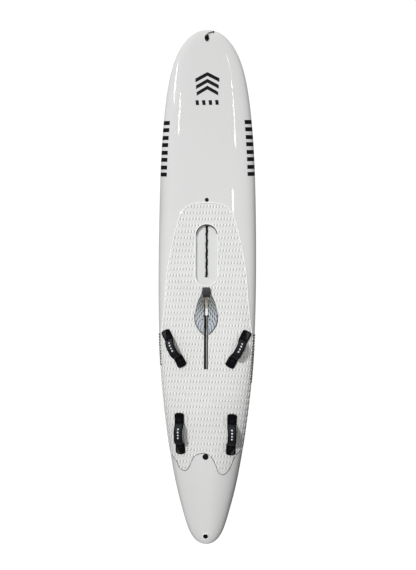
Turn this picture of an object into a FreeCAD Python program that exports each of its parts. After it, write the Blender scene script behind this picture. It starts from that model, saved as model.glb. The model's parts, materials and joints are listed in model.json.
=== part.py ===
"""Longboard windsurf board: hull, mast track, swinging daggerboard, footstraps, fin and fittings.

Frame: +X to the nose, +Y to port, +Z up out of the deck. The fin tip is at Z = 0 and the hull's
flat bottom lies fin_depth above it. All sizes are millimetres.
"""
import FreeCAD
import Part
import math
import os
from FreeCAD import Placement, Rotation, Vector

UP = Vector(0, 0, 1)
PORT = Vector(0, 1, 0)
NOSE = Vector(1, 0, 0)
LEVEL = Rotation()

DIMENSIONS = {
    # hull
    "half_length": 1750, "fin_depth": 440, "nose_scoop": 212, "scoop_start": 250,
    "tail_kick": 15, "kick_start": -900, "rail_share": 0.47, "skin": 4, "glue_gap": 0.5,
    "pad_thickness": 3, "pad_gap": 0.2, "hull_depth": 150,
    # mast track
    "tray_front": 474.5, "tray_aft": 56, "tray_width": 146.5, "tray_depth": 14, "tray_wall": 3,
    "slot_front": 470, "slot_aft": 116, "slot_width": 12, "rail_width": 38, "rail_height": 26,
    "rail_wall": 3.5, "lip_thickness": 2.4,
    # daggerboard
    "pivot_x": -86, "pivot_up": 92, "pin_radius": 6, "pin_length": 50, "pin_play": 0.05,
    "bush_radius": 9, "bush_flange": 13, "case_front": 22, "case_aft": -786,
    "case_inside": 26, "case_wall": 4, "case_roof": 141, "deck_slot_aft": -508,
    "blade_reach": 680, "blade_thickness": 20, "tongue_thickness": 10, "gasket_gap": 22.4,
    "gasket_thickness": 2.5, "cover_thickness": 5, "cover_screw_pitch_x": 122,
    "cover_screw_pitch_y": 49, "cover_screw_x": -110.6, "friction_disc_radius": 30,
    "friction_disc_thickness": 2.6, "pedal_length": 66, "pedal_front_width": 57,
    "pedal_aft_width": 43, "pedal_start": 68, "pedal_up": 70.3, "pedal_front_rise": 20,
    "pedal_aft_rise": 9, "head_foot_up": 66.6, "pedal_screw_length": 12,
    # footstraps
    "strap_width": 62, "strap_thickness": 10, "strap_foot": 50, "strap_crown": 72,
    "webbing_width": 44, "webbing_thickness": 3, "webbing_space": 3.6, "washer_radius": 12,
    "washer_thickness": 2.2, "screw_head_radius": 6.5, "screw_head_height": 4,
    "screw_shank_radius": 3.4, "screw_length": 38, "insert_length": 76, "insert_width": 22,
    "insert_depth": 32, "insert_hole_radius": 3.45, "insert_hole_depth": 28,
    "insert_hole_pitch": 13.7, "screw_hole_radius": 4.2,
    # fin and its box
    "fin_x": -1111, "fin_base_chord": 122, "fin_sweep": 190, "fin_head_length": 104,
    "fin_head_width": 22, "fin_head_height": 62, "fin_fit": 0.3, "fin_box_length": 136,
    "fin_box_width": 42, "bolt_radius": 4, "bolt_play": 0.3, "bolt_head_radius": 7,
    "bolt_head_height": 6, "bolt_washer_radius": 11, "bolt_washer_thickness": 2,
    "cap_radius": 16.5, "cap_thickness": 6, "barrel_radius": 8, "barrel_length": 20,
    # vent, leash plug and tow eye
    "vent_x": 641, "vent_radius": 13, "vent_depth": 26, "vent_screw_radius": 6,
    "vent_head_radius": 8.5, "vent_play": 0.05, "leash_x": -1684, "leash_radius": 17,
    "leash_depth": 20, "leash_bar_radius": 2.5, "tow_x": 1692, "tow_length": 40, "tow_width": 25,
    "tow_base": 5.5, "bail_radius": 12.5, "bail_wire": 3, "tow_screw_radius": 2, "tow_line_radius": 2.5,
    "tow_knot_radius": 5,
}

# hand-set stations: position along the hull, value there
PLAN_FACTORS = [(-1750, 400), (-1600, 337), (-1400, 319), (-1050, 322), (-600, 332), (0, 338),
                (500, 350), (1000, 385), (1400, 446), (1750, 548)]
THICKNESSES = [(-1750, 50), (-1300, 112), (-850, 147), (-300, 150), (500, 150), (1100, 128), (1750, 60)]

# footstrap screws as (x, y) on the port side, aft screw first, and the spare inserts inboard
STRAP_SCREWS = {"front": [(-448, 179), (-291, 261)], "rear": [(-1042, 172.5), (-858, 179)]}
SPARE_INSERTS = [(-285, 213), (-438, 129), (-858, 125), (-1042, 125)]

doc = FreeCAD.newDocument("windsurf_board")
sheet = doc.addObject("Spreadsheet::Sheet", "Dimensions")
for row, (alias, value) in enumerate(DIMENSIONS.items(), start=1):
    sheet.set(f"A{row}", alias)
    sheet.set(f"B{row}", str(value))
    sheet.setAlias(f"B{row}", alias)
doc.recompute()
parts = []


def size(alias):
    """A driving dimension, read back from the sheet."""
    return float(sheet.get(alias))


# ---------------------------------------------------------------- document helpers

def bind(thing, **expressions):
    """Tie properties of an object to the sheet: each bare alias becomes Dimensions.alias."""
    for name, expression in expressions.items():
        for alias in sorted(DIMENSIONS, key=len, reverse=True):
            expression = expression.replace("{" + alias + "}", "Dimensions." + alias)
        thing.setExpression(name, expression)
    return thing


def keep(thing, name):
    """Make an object a sub-part of the board under its own label."""
    thing.Label = name
    parts.append(thing)
    return thing


def place(thing, x=0, y=0, z=0, turn=LEVEL):
    thing.Placement = Placement(Vector(x, y, z), turn)
    return thing


def feature(name, shape):
    """A sub-part whose shape is worked out here from sheet sizes."""
    thing = doc.addObject("Part::Feature", name)
    thing.Shape = shape
    return keep(thing, name)


def cylinder(name, radius, height, x=0, y=0, z=0, turn=LEVEL):
    thing = doc.addObject("Part::Cylinder", name)
    bind(thing, Radius=radius, Height=height)
    return place(thing, x, y, z, turn)


def box(name, length, width, height, x=0, y=0, z=0):
    thing = doc.addObject("Part::Box", name)
    bind(thing, Length=length, Width=width, Height=height)
    return place(thing, x, y, z)


def join(name, *things):
    fused = doc.addObject("Part::MultiFuse", name)
    fused.Shapes = list(things)
    return fused


def cut(name, base, tool):
    result = doc.addObject("Part::Cut", name)
    result.Base = base
    result.Tool = tool
    return result


# ---------------------------------------------------------------- curves and outlines

def smooth_through(stations, x):
    """The natural cubic spline through hand-set stations, so its curvature has no steps."""
    places = [s[0] for s in stations]
    values = [s[1] for s in stations]
    last = len(stations) - 1
    gaps = [places[i + 1] - places[i] for i in range(last)]
    diagonal = [1.0] * (last + 1)
    right = [0.0] * (last + 1)
    for i in range(1, last):
        rise = (values[i + 1] - values[i]) / gaps[i] - (values[i] - values[i - 1]) / gaps[i - 1]
        share = gaps[i - 1] / diagonal[i - 1]
        above = gaps[i - 1] if i > 1 else 0.0
        diagonal[i] = 2 * (gaps[i - 1] + gaps[i]) - share * above
        right[i] = 6 * rise - share * right[i - 1]
    bends = [0.0] * (last + 1)
    for i in range(last - 1, 0, -1):
        bends[i] = (right[i] - gaps[i] * bends[i + 1]) / diagonal[i]
    i = min(last - 1, max(0, sum(1 for p in places[1:-1] if p <= x)))
    after = x - places[i]
    before = places[i + 1] - x
    curved = (bends[i] * before ** 3 + bends[i + 1] * after ** 3) / (6 * gaps[i])
    start = (values[i] / gaps[i] - bends[i] * gaps[i] / 6) * before
    end = (values[i + 1] / gaps[i] - bends[i + 1] * gaps[i] / 6) * after
    return curved + start + end


def rounded_edges(points, radii, closed=False):
    """Straight runs joined by tangent arcs of the given radii at the points between them."""
    points = [Vector(*p) for p in points]
    count = len(points)
    corners = range(count) if closed else range(1, count - 1)
    trims = {}
    for i in corners:
        back = (points[i - 1] - points[i]).normalize()
        ahead = (points[(i + 1) % count] - points[i]).normalize()
        half = back.getAngle(ahead) / 2
        reach = radii[i] / math.tan(half)
        middle = points[i] + (back + ahead).normalize() * (radii[i] / math.sin(half) - radii[i])
        trims[i] = (points[i] + back * reach, middle, points[i] + ahead * reach)
    edges = []
    for i in range(count if closed else count - 1):
        following = (i + 1) % count
        start = trims[i][2] if i in trims else points[i]
        end = trims[following][0] if following in trims else points[following]
        if (end - start).Length > 1e-6:
            edges.append(Part.makeLine(start, end))
        if following in trims and (closed or following != count - 1):
            edges.append(Part.Arc(*trims[following]).toShape())
    return edges


def rounded_plate(points, radii, thickness, direction):
    """A plate with a rounded outline, pushed both ways from the outline's plane."""
    face = Part.Face(Part.Wire(rounded_edges(points, radii, closed=True)))
    face.translate(direction * (-thickness / 2))
    return face.extrude(direction * thickness)


def oblong(length, width, depth, x, y, top):
    """A prism with half-round ends, its long axis along X, hanging down from its top."""
    reach = length / 2 - width / 2
    middle = Part.makeBox(2 * reach, width, depth, Vector(x - reach, y - width / 2, top - depth))
    ends = [Part.makeCylinder(width / 2, depth, Vector(x + side * reach, y, top - depth)) for side in (-1, 1)]
    return middle.fuse(ends).removeSplitter()


def drill(radius, x, y, low, high):
    return Part.makeCylinder(radius, high - low, Vector(x, y, low))


# ---------------------------------------------------------------- hull form

HALF_LENGTH = size("half_length")
KEEL = size("fin_depth")
DECK = KEEL + size("hull_depth")


def fullness(x):
    """1 amidships and 0 at the tips, as on an ellipse."""
    return math.sqrt(max(0.0, 1 - (x / HALF_LENGTH) ** 2))


def half_width(x):
    return smooth_through(PLAN_FACTORS, x) * fullness(x)


def thickness(x):
    """Thickness on the centreline, closed by a blunt round at each tip."""
    return smooth_through(THICKNESSES, x) * math.sqrt(max(0.0, 1 - abs(x / HALF_LENGTH) ** 40))


def rail_height(x):
    """Height of the widest line of the rail, which follows the scoop and the tail kick."""
    scoop = 0.0
    if x > size("scoop_start"):
        share = (x - size("scoop_start")) / (HALF_LENGTH - size("scoop_start"))
        scoop = size("nose_scoop") * share ** 2.2
    if x < size("kick_start"):
        share = (size("kick_start") - x) / (HALF_LENGTH + size("kick_start"))
        scoop = size("tail_kick") * share ** 2
    return KEEL + scoop + size("rail_share") * smooth_through(THICKNESSES, x)


def deck_power(x):
    return 3.5 + 4.5 * fullness(x)


def deck_height(x, y):
    """Height of the deck's outer skin above (x, y)."""
    across = min(1.0, abs(y) / half_width(x))
    rise = (1 - size("rail_share")) * thickness(x)
    return rail_height(x) + rise * (1 - across ** deck_power(x)) ** (1 / 2.3)


def section_point(width, rise, wide_power, high_power, angle):
    """A point of a superellipse in the direction of an angle, so points spread evenly round it."""
    side, up = abs(math.cos(angle)), abs(math.sin(angle))
    low, high = 0.5, 1.5
    for _ in range(50):
        reach = (low + high) / 2
        if (reach * side) ** wide_power + (reach * up) ** high_power < 1:
            low = reach
        else:
            high = reach
    return width * reach * math.cos(angle), rise * reach * math.sin(angle)


def hull_section(x, grow):
    """The closed section at x, with the hull grown outward by a wall or gap."""
    inner_x = x * HALF_LENGTH / (HALF_LENGTH + grow)
    width = max(half_width(inner_x), 3.0) + grow
    top = (1 - size("rail_share")) * thickness(inner_x) + grow
    bottom = size("rail_share") * thickness(inner_x) + grow
    count = 56
    points = []
    for i in range(count):
        angle = 2 * math.pi * (i + 0.5) / count - math.pi / 2
        above = math.sin(angle) > 0
        powers = (deck_power(inner_x), 2.3) if above else (deck_power(inner_x) * 0.8, 2.2)
        y, z = section_point(width, top if above else bottom, *powers, angle)
        points.append(Vector(x, y, rail_height(inner_x) + z))
    curve = Part.BSplineCurve()
    curve.interpolate(Points=points, PeriodicFlag=True, Parameters=[float(i) for i in range(count + 1)])
    return Part.Wire(curve.toShape())


def hull_solid(grow):
    """The hull as one loft, with stations drawn together towards the tips."""
    steps = 44
    reach = HALF_LENGTH + grow
    first = 0.55
    stations = [first] + list(range(1, steps)) + [steps - first]
    sections = [hull_section(-reach * math.cos(math.pi * s / steps), grow) for s in stations]
    return Part.makeLoft(sections, True)


def above_rail(gap):
    """Everything above the rail line, for parting the deck from the bottom."""
    stations = [i * 100 for i in range(-19, 20)]
    curve = Part.BSplineCurve()
    heights = [rail_height(max(-HALF_LENGTH, min(HALF_LENGTH, x))) + gap for x in stations]
    curve.interpolate([Vector(x, -500, z) for x, z in zip(stations, heights)])
    start, end = curve.StartPoint, curve.EndPoint
    roof = DECK + 500
    corners = [end, Vector(end.x, -500, roof), Vector(start.x, -500, roof), start]
    edges = [curve.toShape()] + [Part.makeLine(corners[i], corners[i + 1]) for i in range(3)]
    return Part.Face(Part.Wire(edges)).extrude(Vector(0, 1000, 0))


# ---------------------------------------------------------------- fittings that pass through the hull

def all_inserts():
    """Every footstrap insert as (x, y), the four under the straps and the four spare, both sides."""
    used = [screw for pair in STRAP_SCREWS.values() for screw in pair]
    return [(x, side * y) for x, y in used + SPARE_INSERTS for side in (1, -1)]


def insert_top(x, y):
    """An insert's flat top stays just inside the skin at its outboard edge."""
    return deck_height(x, abs(y) + size("insert_width") / 2) - 0.3


def pad_top(x, y):
    return deck_height(x, y) + size("pad_gap") + size("pad_thickness")


def tray_outline(grow, low, high):
    length = size("tray_front") - size("tray_aft") + 2 * grow
    middle = (size("tray_front") + size("tray_aft")) / 2
    return oblong(length, size("tray_width") + 2 * grow, high - low, middle, 0, high)


def cover_face(grow):
    """The leaf-shaped cover's outline: two curved sides that meet the slot at their aft ends."""
    slot = size("case_inside") / 2 + 1
    stations = [(36, 26), (-4, 37), (-50, 58), (-105, 73), (-150, 78), (-200, 71), (-245, 46), (-274, 17)]
    sides = []
    for side in (1, -1):
        curve = Part.BSplineCurve()
        curve.interpolate([Vector(x, side * (y + grow), 0) for x, y in stations])
        sides.append(curve)
    port, starboard = sides
    aft = -274 - grow
    corners = [port.EndPoint, Vector(aft, slot, 0), Vector(aft, -slot, 0), starboard.EndPoint]
    edges = [port.toShape()] + [Part.makeLine(corners[i], corners[i + 1]) for i in range(3)]
    edges += [starboard.toShape(), Part.makeLine(starboard.StartPoint, port.StartPoint)]
    return Part.Face(Part.Wire(Part.sortEdges(edges)[0]))


def deck_slot(grow, low, high):
    length = size("case_front") - size("deck_slot_aft") + 2 * grow
    width = size("case_inside") + 2 * grow
    return Part.makeBox(length, width, high - low, Vector(size("deck_slot_aft") - grow, -width / 2, low))


def cover_screw_places():
    return [(size("cover_screw_x") + along * size("cover_screw_pitch_x") / 2,
             side * size("cover_screw_pitch_y") / 2) for along in (1, -1) for side in (1, -1)]


def small_screw_holes():
    """Pilot holes for the cover's screws and the tow eye's, in the skin and the foam."""
    holes = [drill(2.05, x, y, DECK - 30, DECK + 30) for x, y in cover_screw_places()]
    for along in (-14, 14):
        hole = drill(size("tow_screw_radius") + 0.05, along, 0, -40, 20)
        hole.Placement = tow_frame()
        holes.append(hole)
    return holes


def skin_openings(reach):
    """Holes through the deck skin, each a glue gap wider than the fitting in it."""
    gap = size("glue_gap")
    low, high = DECK - 60, DECK + 60
    tools = [tray_outline(gap, low, high), deck_slot(size("case_wall") + gap, low, high)]
    for x, y in all_inserts():
        length, width = size("insert_length") + 2 * gap, size("insert_width") + 2 * gap
        tools.append(oblong(length, width, reach, x, y, DECK + 20))
    fin_x = size("fin_x")
    tools.append(drill(size("cap_radius") + 4 + gap, fin_x, 0, DECK - 80, high))
    tools.append(drill(size("vent_radius") + gap, size("vent_x"), 0, low, high))
    tools.append(drill(size("leash_radius") + gap, size("leash_x"), 0, KEEL + 25, high))
    return tools + small_screw_holes()


# ---------------------------------------------------------------- hull sub-parts

def make_hull():
    skin, gap = size("skin"), size("glue_gap")
    outer = hull_solid(0)
    inner = hull_solid(-skin)
    core = hull_solid(-skin - gap)
    upper = above_rail(0)
    lower_slot = Part.makeBox(size("case_front") - size("case_aft") + 2 * size("case_wall") + 2 * gap,
                              size("case_inside") + 2 * size("case_wall") + 2 * gap, 40,
                              Vector(size("case_aft") - size("case_wall") - gap,
                                     -size("case_inside") / 2 - size("case_wall") - gap, KEEL - 20))
    fin_hole = Part.makeBox(size("fin_box_length") + 2 * gap, size("fin_box_width") + 2 * gap, 60,
                            Vector(size("fin_x") - size("fin_box_length") / 2 - gap,
                                   -size("fin_box_width") / 2 - gap, KEEL - 20))
    shell = outer.cut(inner)
    deck = shell.common(upper).cut(skin_openings(60) + [tow_insert_block(gap)])
    feature("deck_skin", deck)
    feature("bottom_skin", shell.cut(upper).cut([lower_slot, fin_hole]))
    feature("foam_core", core.cut(core_pockets()))
    grown = hull_solid(size("pad_gap") + size("pad_thickness"))
    feature("nonskid_pad", pad_shape(grown, hull_solid(size("pad_gap"))))
    return grown


def core_pockets():
    """Pockets in the foam for every fitting, a glue gap clear of each."""
    gap = size("glue_gap")
    wall = size("case_wall")
    pockets = []
    well_width = size("case_inside") + 2 * wall + 2 * gap
    well_length = size("case_front") - size("case_aft") + 2 * wall + 2 * gap
    well_aft = size("case_aft") - wall - gap
    pockets.append(Part.makeBox(well_length, well_width, size("case_roof") + wall + gap + 20,
                                Vector(well_aft, -well_width / 2, KEEL - 20)))
    pockets.append(deck_slot(wall + gap, KEEL + 100, DECK + 20))
    bush = Vector(size("pivot_x"), -32, KEEL + size("pivot_up"))
    pockets.append(Part.makeCylinder(size("bush_flange") + 1, 64, bush, PORT))
    pockets.append(tray_outline(gap, DECK - size("tray_depth") - size("tray_wall") - gap, DECK + 20))
    rail_length = size("slot_front") - size("slot_aft") + 24 + 2 * gap
    rail_depth = size("rail_height") + gap
    floor = DECK - size("tray_depth") - size("tray_wall")
    rail_room = size("rail_width") + 2 * gap
    pockets.append(Part.makeBox(rail_length, rail_room, rail_depth + 5,
                                Vector(size("slot_aft") - 12 - gap, -rail_room / 2, floor - rail_depth)))
    for x, y in all_inserts():
        depth = size("insert_depth") + gap + 20
        pockets.append(oblong(size("insert_length") + 2 * gap, size("insert_width") + 2 * gap, depth, x, y,
                              insert_top(x, y) + 20))
    pockets.append(Part.makeBox(size("fin_box_length") + 2 * gap, size("fin_box_width") + 2 * gap, 128,
                                Vector(size("fin_x") - size("fin_box_length") / 2 - gap,
                                       -size("fin_box_width") / 2 - gap, KEEL - 20)))
    pockets.append(drill(size("cap_radius") + 4 + gap, size("fin_x"), 0, KEEL + 80, DECK + 20))
    pockets.append(drill(size("vent_radius") + gap, size("vent_x"), 0,
                         deck_height(size("vent_x"), 0) - size("vent_depth") - gap, DECK + 60))
    pockets.append(drill(size("leash_radius") + gap, size("leash_x"), 0,
                         leash_floor() - gap, DECK + 20))
    pockets.append(tow_insert_block(gap))
    return pockets + small_screw_holes()


def pad_outline():
    """The non-skid area: round in front, past the rails amidships, two lobes astern."""
    front = [(-620, 390), (-260, 312), (-60, 286), (120, 272), (290, 245), (440, 210), (530, 182), (585, 145),
             (612, 90), (622, 0)]
    aft = [(-960, 390), (-1126, 217), (-1185, 184), (-1211, 147), (-1190, 116), (-1110, 78), (-1086, 18),
           (-1103, -32), (-1158, -66), (-1214, -88), (-1233, -120), (-1196, -162), (-1086, -217),
           (-960, -390)]
    mirrored = [(x, -y) for x, y in reversed(front[:-1])]
    nose_curve = Part.BSplineCurve()
    nose_curve.interpolate([Vector(x, y, 0) for x, y in front + mirrored])
    aft_curve = Part.BSplineCurve()
    aft_curve.interpolate([Vector(x, y, 0) for x, y in aft])
    port_line = Part.makeLine(nose_curve.StartPoint, aft_curve.StartPoint)
    starboard_line = Part.makeLine(aft_curve.EndPoint, nose_curve.EndPoint)
    edges = [nose_curve.toShape(), starboard_line, aft_curve.toShape(), port_line]
    return Part.Face(Part.Wire(Part.sortEdges(edges)[0]))


def pad_shape(grown, floor):
    outline = pad_outline()
    outline.translate(Vector(0, 0, KEEL))
    area = outline.extrude(Vector(0, 0, 400))
    sheet_shape = grown.cut(floor).common(above_rail(2)).common(area)
    low, high = DECK - 60, DECK + 60
    cover = cover_face(0.8)
    cover.translate(Vector(0, 0, low))
    holes = [tray_outline(0.8, low, high), deck_slot(1, low, high), cover.extrude(UP * (high - low))]
    for x, y in all_inserts():
        reach = 2 if (x, abs(y)) in SPARE_INSERTS else 0
        for step in range(-reach, reach + 1):
            holes.append(drill(size("screw_hole_radius"), x + step * size("insert_hole_pitch"), y, low, high))
        length, width = size("insert_length") + 0.4, size("insert_width") + 0.4
        holes.append(oblong(length, width, size("insert_depth"), x, y, insert_top(x, y) + 0.1))
    return sheet_shape.cut(holes)


# ---------------------------------------------------------------- mast track

def make_mast_track():
    """The shallow stadium tray, the T-slot rail under it and the soft lips over the slot."""
    floor = DECK - size("tray_depth")
    tray = doc.addObject("PartDesign::Body", "TrayBody")
    plane = next(o for o in tray.Origin.OriginFeatures if o.Role == "XY_Plane")

    def stadium(name, grow):
        sketch = tray.newObject("Sketcher::SketchObject", name)
        sketch.AttachmentSupport = (plane, [""])
        sketch.MapMode = "FlatFace"
        half = (size("tray_front") - size("tray_aft") - size("tray_width")) / 2
        radius = size("tray_width") / 2 + grow
        sketch.addGeometry(Part.LineSegment(Vector(-half, radius, 0), Vector(half, radius, 0)), False)
        sketch.addGeometry(Part.LineSegment(Vector(half, -radius, 0), Vector(-half, -radius, 0)), False)
        quarter = math.pi / 2
        for end, first in ((half, -quarter), (-half, quarter)):
            circle = Part.Circle(Vector(end, 0, 0), UP, radius)
            sketch.addGeometry(Part.ArcOfCircle(circle, first, first + math.pi), False)
        return sketch

    body = tray.newObject("PartDesign::Pad", "TrayBlank")
    body.Profile = stadium("TrayOutline", 0)
    bind(body, Length="{tray_depth} + {tray_wall}")
    doc.recompute()
    hollow = tray.newObject("PartDesign::Pocket", "TrayHollow")
    rim = stadium("TrayHollowOutline", -size("tray_wall"))
    bind(rim, **{"AttachmentOffset.Base.z": "{tray_depth} + {tray_wall}"})
    hollow.Profile = rim
    bind(hollow, Length="{tray_depth}")
    doc.recompute()
    middle = (size("tray_front") + size("tray_aft")) / 2
    slot = box("TraySlot", "{slot_front} - {slot_aft}", "{rail_width} - 2 * {rail_wall}", "{tray_depth}",
               size("slot_aft") - middle, -size("rail_width") / 2 + size("rail_wall"), -2)
    well = keep(cut("TrayWell", tray, slot), "mast_track_tray")
    place(well, middle, 0, floor - size("tray_wall"))

    rail = doc.addObject("PartDesign::Body", "RailBody")
    end_plane = next(o for o in rail.Origin.OriginFeatures if o.Role == "YZ_Plane")
    sketch = rail.newObject("Sketcher::SketchObject", "RailSection")
    sketch.AttachmentSupport = (end_plane, [""])
    sketch.MapMode = "FlatFace"
    wide, wall, tall = size("rail_width") / 2, size("rail_wall"), size("rail_height")
    mouth = size("slot_width") / 2
    outline = [(-wide, 0), (wide, 0), (wide, tall), (mouth, tall), (mouth, tall - 6), (wide - wall, tall - 6),
               (wide - wall, wall), (wall - wide, wall), (wall - wide, tall - 6), (-mouth, tall - 6),
               (-mouth, tall), (-wide, tall)]
    for i, (y, z) in enumerate(outline):
        following = outline[(i + 1) % len(outline)]
        sketch.addGeometry(Part.LineSegment(Vector(y, z, 0), Vector(*following, 0)), False)
    pad = rail.newObject("PartDesign::Pad", "RailLength")
    pad.Profile = sketch
    bind(pad, Length="{slot_front} - {slot_aft} + 20")
    place(rail, size("slot_aft") - 10, 0, floor - size("tray_wall") - size("rail_height") - 0.2)
    keep(rail, "mast_track_rail")

    lip_width = "({rail_width} - 2 * {rail_wall} - {slot_width}) / 2 - 0.2"
    lip_reach = (size("rail_width") - 2 * size("rail_wall") - size("slot_width")) / 2 - 0.2
    mouth = size("slot_width") / 2
    for name, y in (("mast_track_lip_left", mouth), ("mast_track_lip_right", -mouth - lip_reach)):
        lip = box(name, "{slot_front} - {slot_aft} - 6", lip_width, "{lip_thickness}",
                  size("slot_aft") + 3, y, floor - size("tray_wall") + 0.2)
        keep(lip, name)


# ---------------------------------------------------------------- daggerboard

PIVOT = Vector(size("pivot_x"), 0, KEEL + size("pivot_up"))


def make_daggerboard_case():
    """The trunk through the hull: closed above except along the deck slot, open below."""
    wall, inside = size("case_wall"), size("case_inside")
    top = DECK - 0.4
    outer = box("CaseOuter", "{case_front} - {case_aft} + 2 * {case_wall}", "{case_inside} + 2 * {case_wall}",
                "{case_roof} + {case_wall} - 1", size("case_aft") - wall, -inside / 2 - wall, KEEL + 0.5)
    neck = box("CaseNeck", "{case_front} - {deck_slot_aft} + 2 * {case_wall}",
               "{case_inside} + 2 * {case_wall}", "{hull_depth} - {case_roof} + 1.6",
               size("deck_slot_aft") - wall, -inside / 2 - wall, top - 11)
    inner = box("CaseHollow", "{case_front} - {case_aft}", "{case_inside}", "{case_roof}",
                size("case_aft"), -inside / 2, KEEL)
    slot = box("CaseSlot", "{case_front} - {deck_slot_aft}", "{case_inside}", "60",
               size("deck_slot_aft"), -inside / 2, DECK - 30)
    pin_hole = cylinder("CasePinHole", "{bush_radius}", "80", PIVOT.x, -40, PIVOT.z, Rotation(NOSE, -90))
    hollow = join("CaseHollows", inner, slot, pin_hole)
    keep(cut("CaseCut", join("CaseWalls", outer, neck), hollow), "daggerboard_case")


def make_pivot():
    """The fixed pin, its flanged bushes in the case walls and the friction discs on the head."""
    length = size("pin_length")
    pin = cylinder("daggerboard_pivot_pin", "{pin_radius}", "{pin_length}", PIVOT.x, -length / 2, PIVOT.z,
                   Rotation(NOSE, -90))
    keep(pin, "daggerboard_pivot_pin")
    inside, wall = size("case_inside") / 2, size("case_wall")
    bushes = []
    for side in (1, -1):
        turn = PORT * side
        start = Vector(PIVOT.x, side * inside, PIVOT.z)
        barrel = Part.makeCylinder(size("bush_radius") - 0.02, wall + 6, start, turn)
        flange = Part.makeCylinder(size("bush_flange"), 3, start + turn * (wall + 0.02), turn)
        bore = Part.makeCylinder(size("pin_radius") + 0.02, 30, start - turn * 5, turn)
        bushes.append(barrel.fuse(flange).removeSplitter().cut(bore))
    feature("pivot_bushes", Part.makeCompound(bushes))
    discs = []
    for side in (1, -1):
        start = Vector(PIVOT.x, side * size("blade_thickness") / 2, PIVOT.z)
        disc = Part.makeCylinder(size("friction_disc_radius"), size("friction_disc_thickness"),
                                 start, PORT * side)
        bore = Part.makeCylinder(size("pin_radius") + size("pin_play"), 20,
                                 start - PORT * side * 5, PORT * side)
        discs.append(disc.cut(bore))
    feature("friction_discs", Part.makeCompound(discs))


def head_outline():
    """Corner points of the head round the pivot, as (ahead, up, radius)."""
    foot = size("head_foot_up")
    return [(-62, -30, 14), (-62, 44, 8), (-18, 44, 30), (30, 52, 25), (62, 70, 3), (128, 70, 1.5),
            (128, foot, 1.5), (94, foot, 12), (52, 30, 20), (52, -20, 20), (30, -58, 20), (-10, -70, 20)]


def make_daggerboard_head():
    """The hub that turns on the pin and carries the blade astern and the pedal ahead."""
    corners = head_outline()
    points = [(PIVOT.x + ahead, 0, PIVOT.z + up) for ahead, up, _ in corners]
    plate = rounded_plate(points, [c[2] for c in corners], size("blade_thickness"), PORT)
    bore = Part.makeCylinder(size("pin_radius") + size("pin_play"), 60, PIVOT - PORT * 30, PORT)
    groove = size("tongue_thickness") / 2 + 0.2
    slot = Part.makeBox(36, 2 * groove, 66, Vector(PIVOT.x - 63, -groove, PIVOT.z - 45))
    head = plate.cut([bore, slot] + tongue_bolt_bodies(0.02) + pedal_screw_bodies(0.02))
    feature("daggerboard_head", head)
    feature("daggerboard_head_bolts", Part.makeCompound(tongue_bolt_bodies(0)))


def tongue_bolt_bodies(play):
    """Two cross bolts that clamp the head's cheeks on the blade's tongue."""
    bolts = []
    for up in (-22, 8):
        start = Vector(PIVOT.x - 47, -size("blade_thickness") / 2, PIVOT.z + up)
        bolts.append(Part.makeCylinder(3 + play, size("blade_thickness"), start, PORT))
    return bolts


def blade_section(x, trailing, leading, half):
    """A foil section at x: a two-faceted trailing ridge above, a round leading edge below."""
    ridge = Vector(x, 0, trailing)
    slope = min(9, (trailing - leading) * 0.2)
    edges = []
    for side in (1, -1):
        shoulder = Vector(x, side * 0.75 * half, trailing - slope)
        edges.append(Part.makeLine(ridge, shoulder))
    depth = trailing - slope - leading
    right = [Vector(x, 0.75 * half, trailing - slope), Vector(x, half, trailing - slope - depth * 0.3),
             Vector(x, half * 0.96, leading + depth * 0.3), Vector(x, half * 0.5, leading + depth * 0.06),
             Vector(x, 0, leading)]
    left = [Vector(v.x, -v.y, v.z) for v in reversed(right[:-1])]
    curve = Part.BSplineCurve()
    curve.interpolate(Points=right + left, Parameters=[float(i) for i in range(9)])
    return Part.Wire([edges[0], curve.toShape(), edges[1].reversed()])


def make_blade():
    """The swinging blade, stowed level astern of the pivot with its trailing edge up."""
    start = PIVOT.x - 62.5
    reach = size("blade_reach") - 62.5
    steps = 10
    sections = []
    for step in range(steps):
        share = 1 - (1 - step / steps) ** 2
        trailing = 44 - 12 * share ** 2
        leading = -84 + 26 * share ** 2
        round_off = math.sqrt(1 - share ** 12)
        middle = (trailing + leading) / 2
        chord = (trailing - leading) * round_off
        half = size("blade_thickness") / 2 * (1 - 0.25 * share) * (0.4 + 0.6 * round_off)
        x = start - reach * share
        sections.append(blade_section(x, PIVOT.z + middle + chord / 2, PIVOT.z + middle - chord / 2, half))
    blade = Part.makeLoft(sections, True)
    tongue = Part.makeBox(34, size("tongue_thickness"), 62,
                          Vector(start - 2, -size("tongue_thickness") / 2, PIVOT.z - 43))
    body = blade.fuse(tongue).removeSplitter().cut(tongue_bolt_bodies(0.02))
    print("blade height", round(body.BoundBox.ZLength, 1), "thickness", round(body.BoundBox.YLength, 2))
    feature("daggerboard_blade", body)


def pedal_screw_bodies(play):
    """Two screws up through the head's foot into the pedal, flush with the foot's underside."""
    base = PIVOT.z + size("head_foot_up")
    length = size("pedal_screw_length")
    return [Part.makeCylinder(2 + play, length, Vector(PIVOT.x + ahead, 0, base)) for ahead in (84, 108)]


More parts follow.
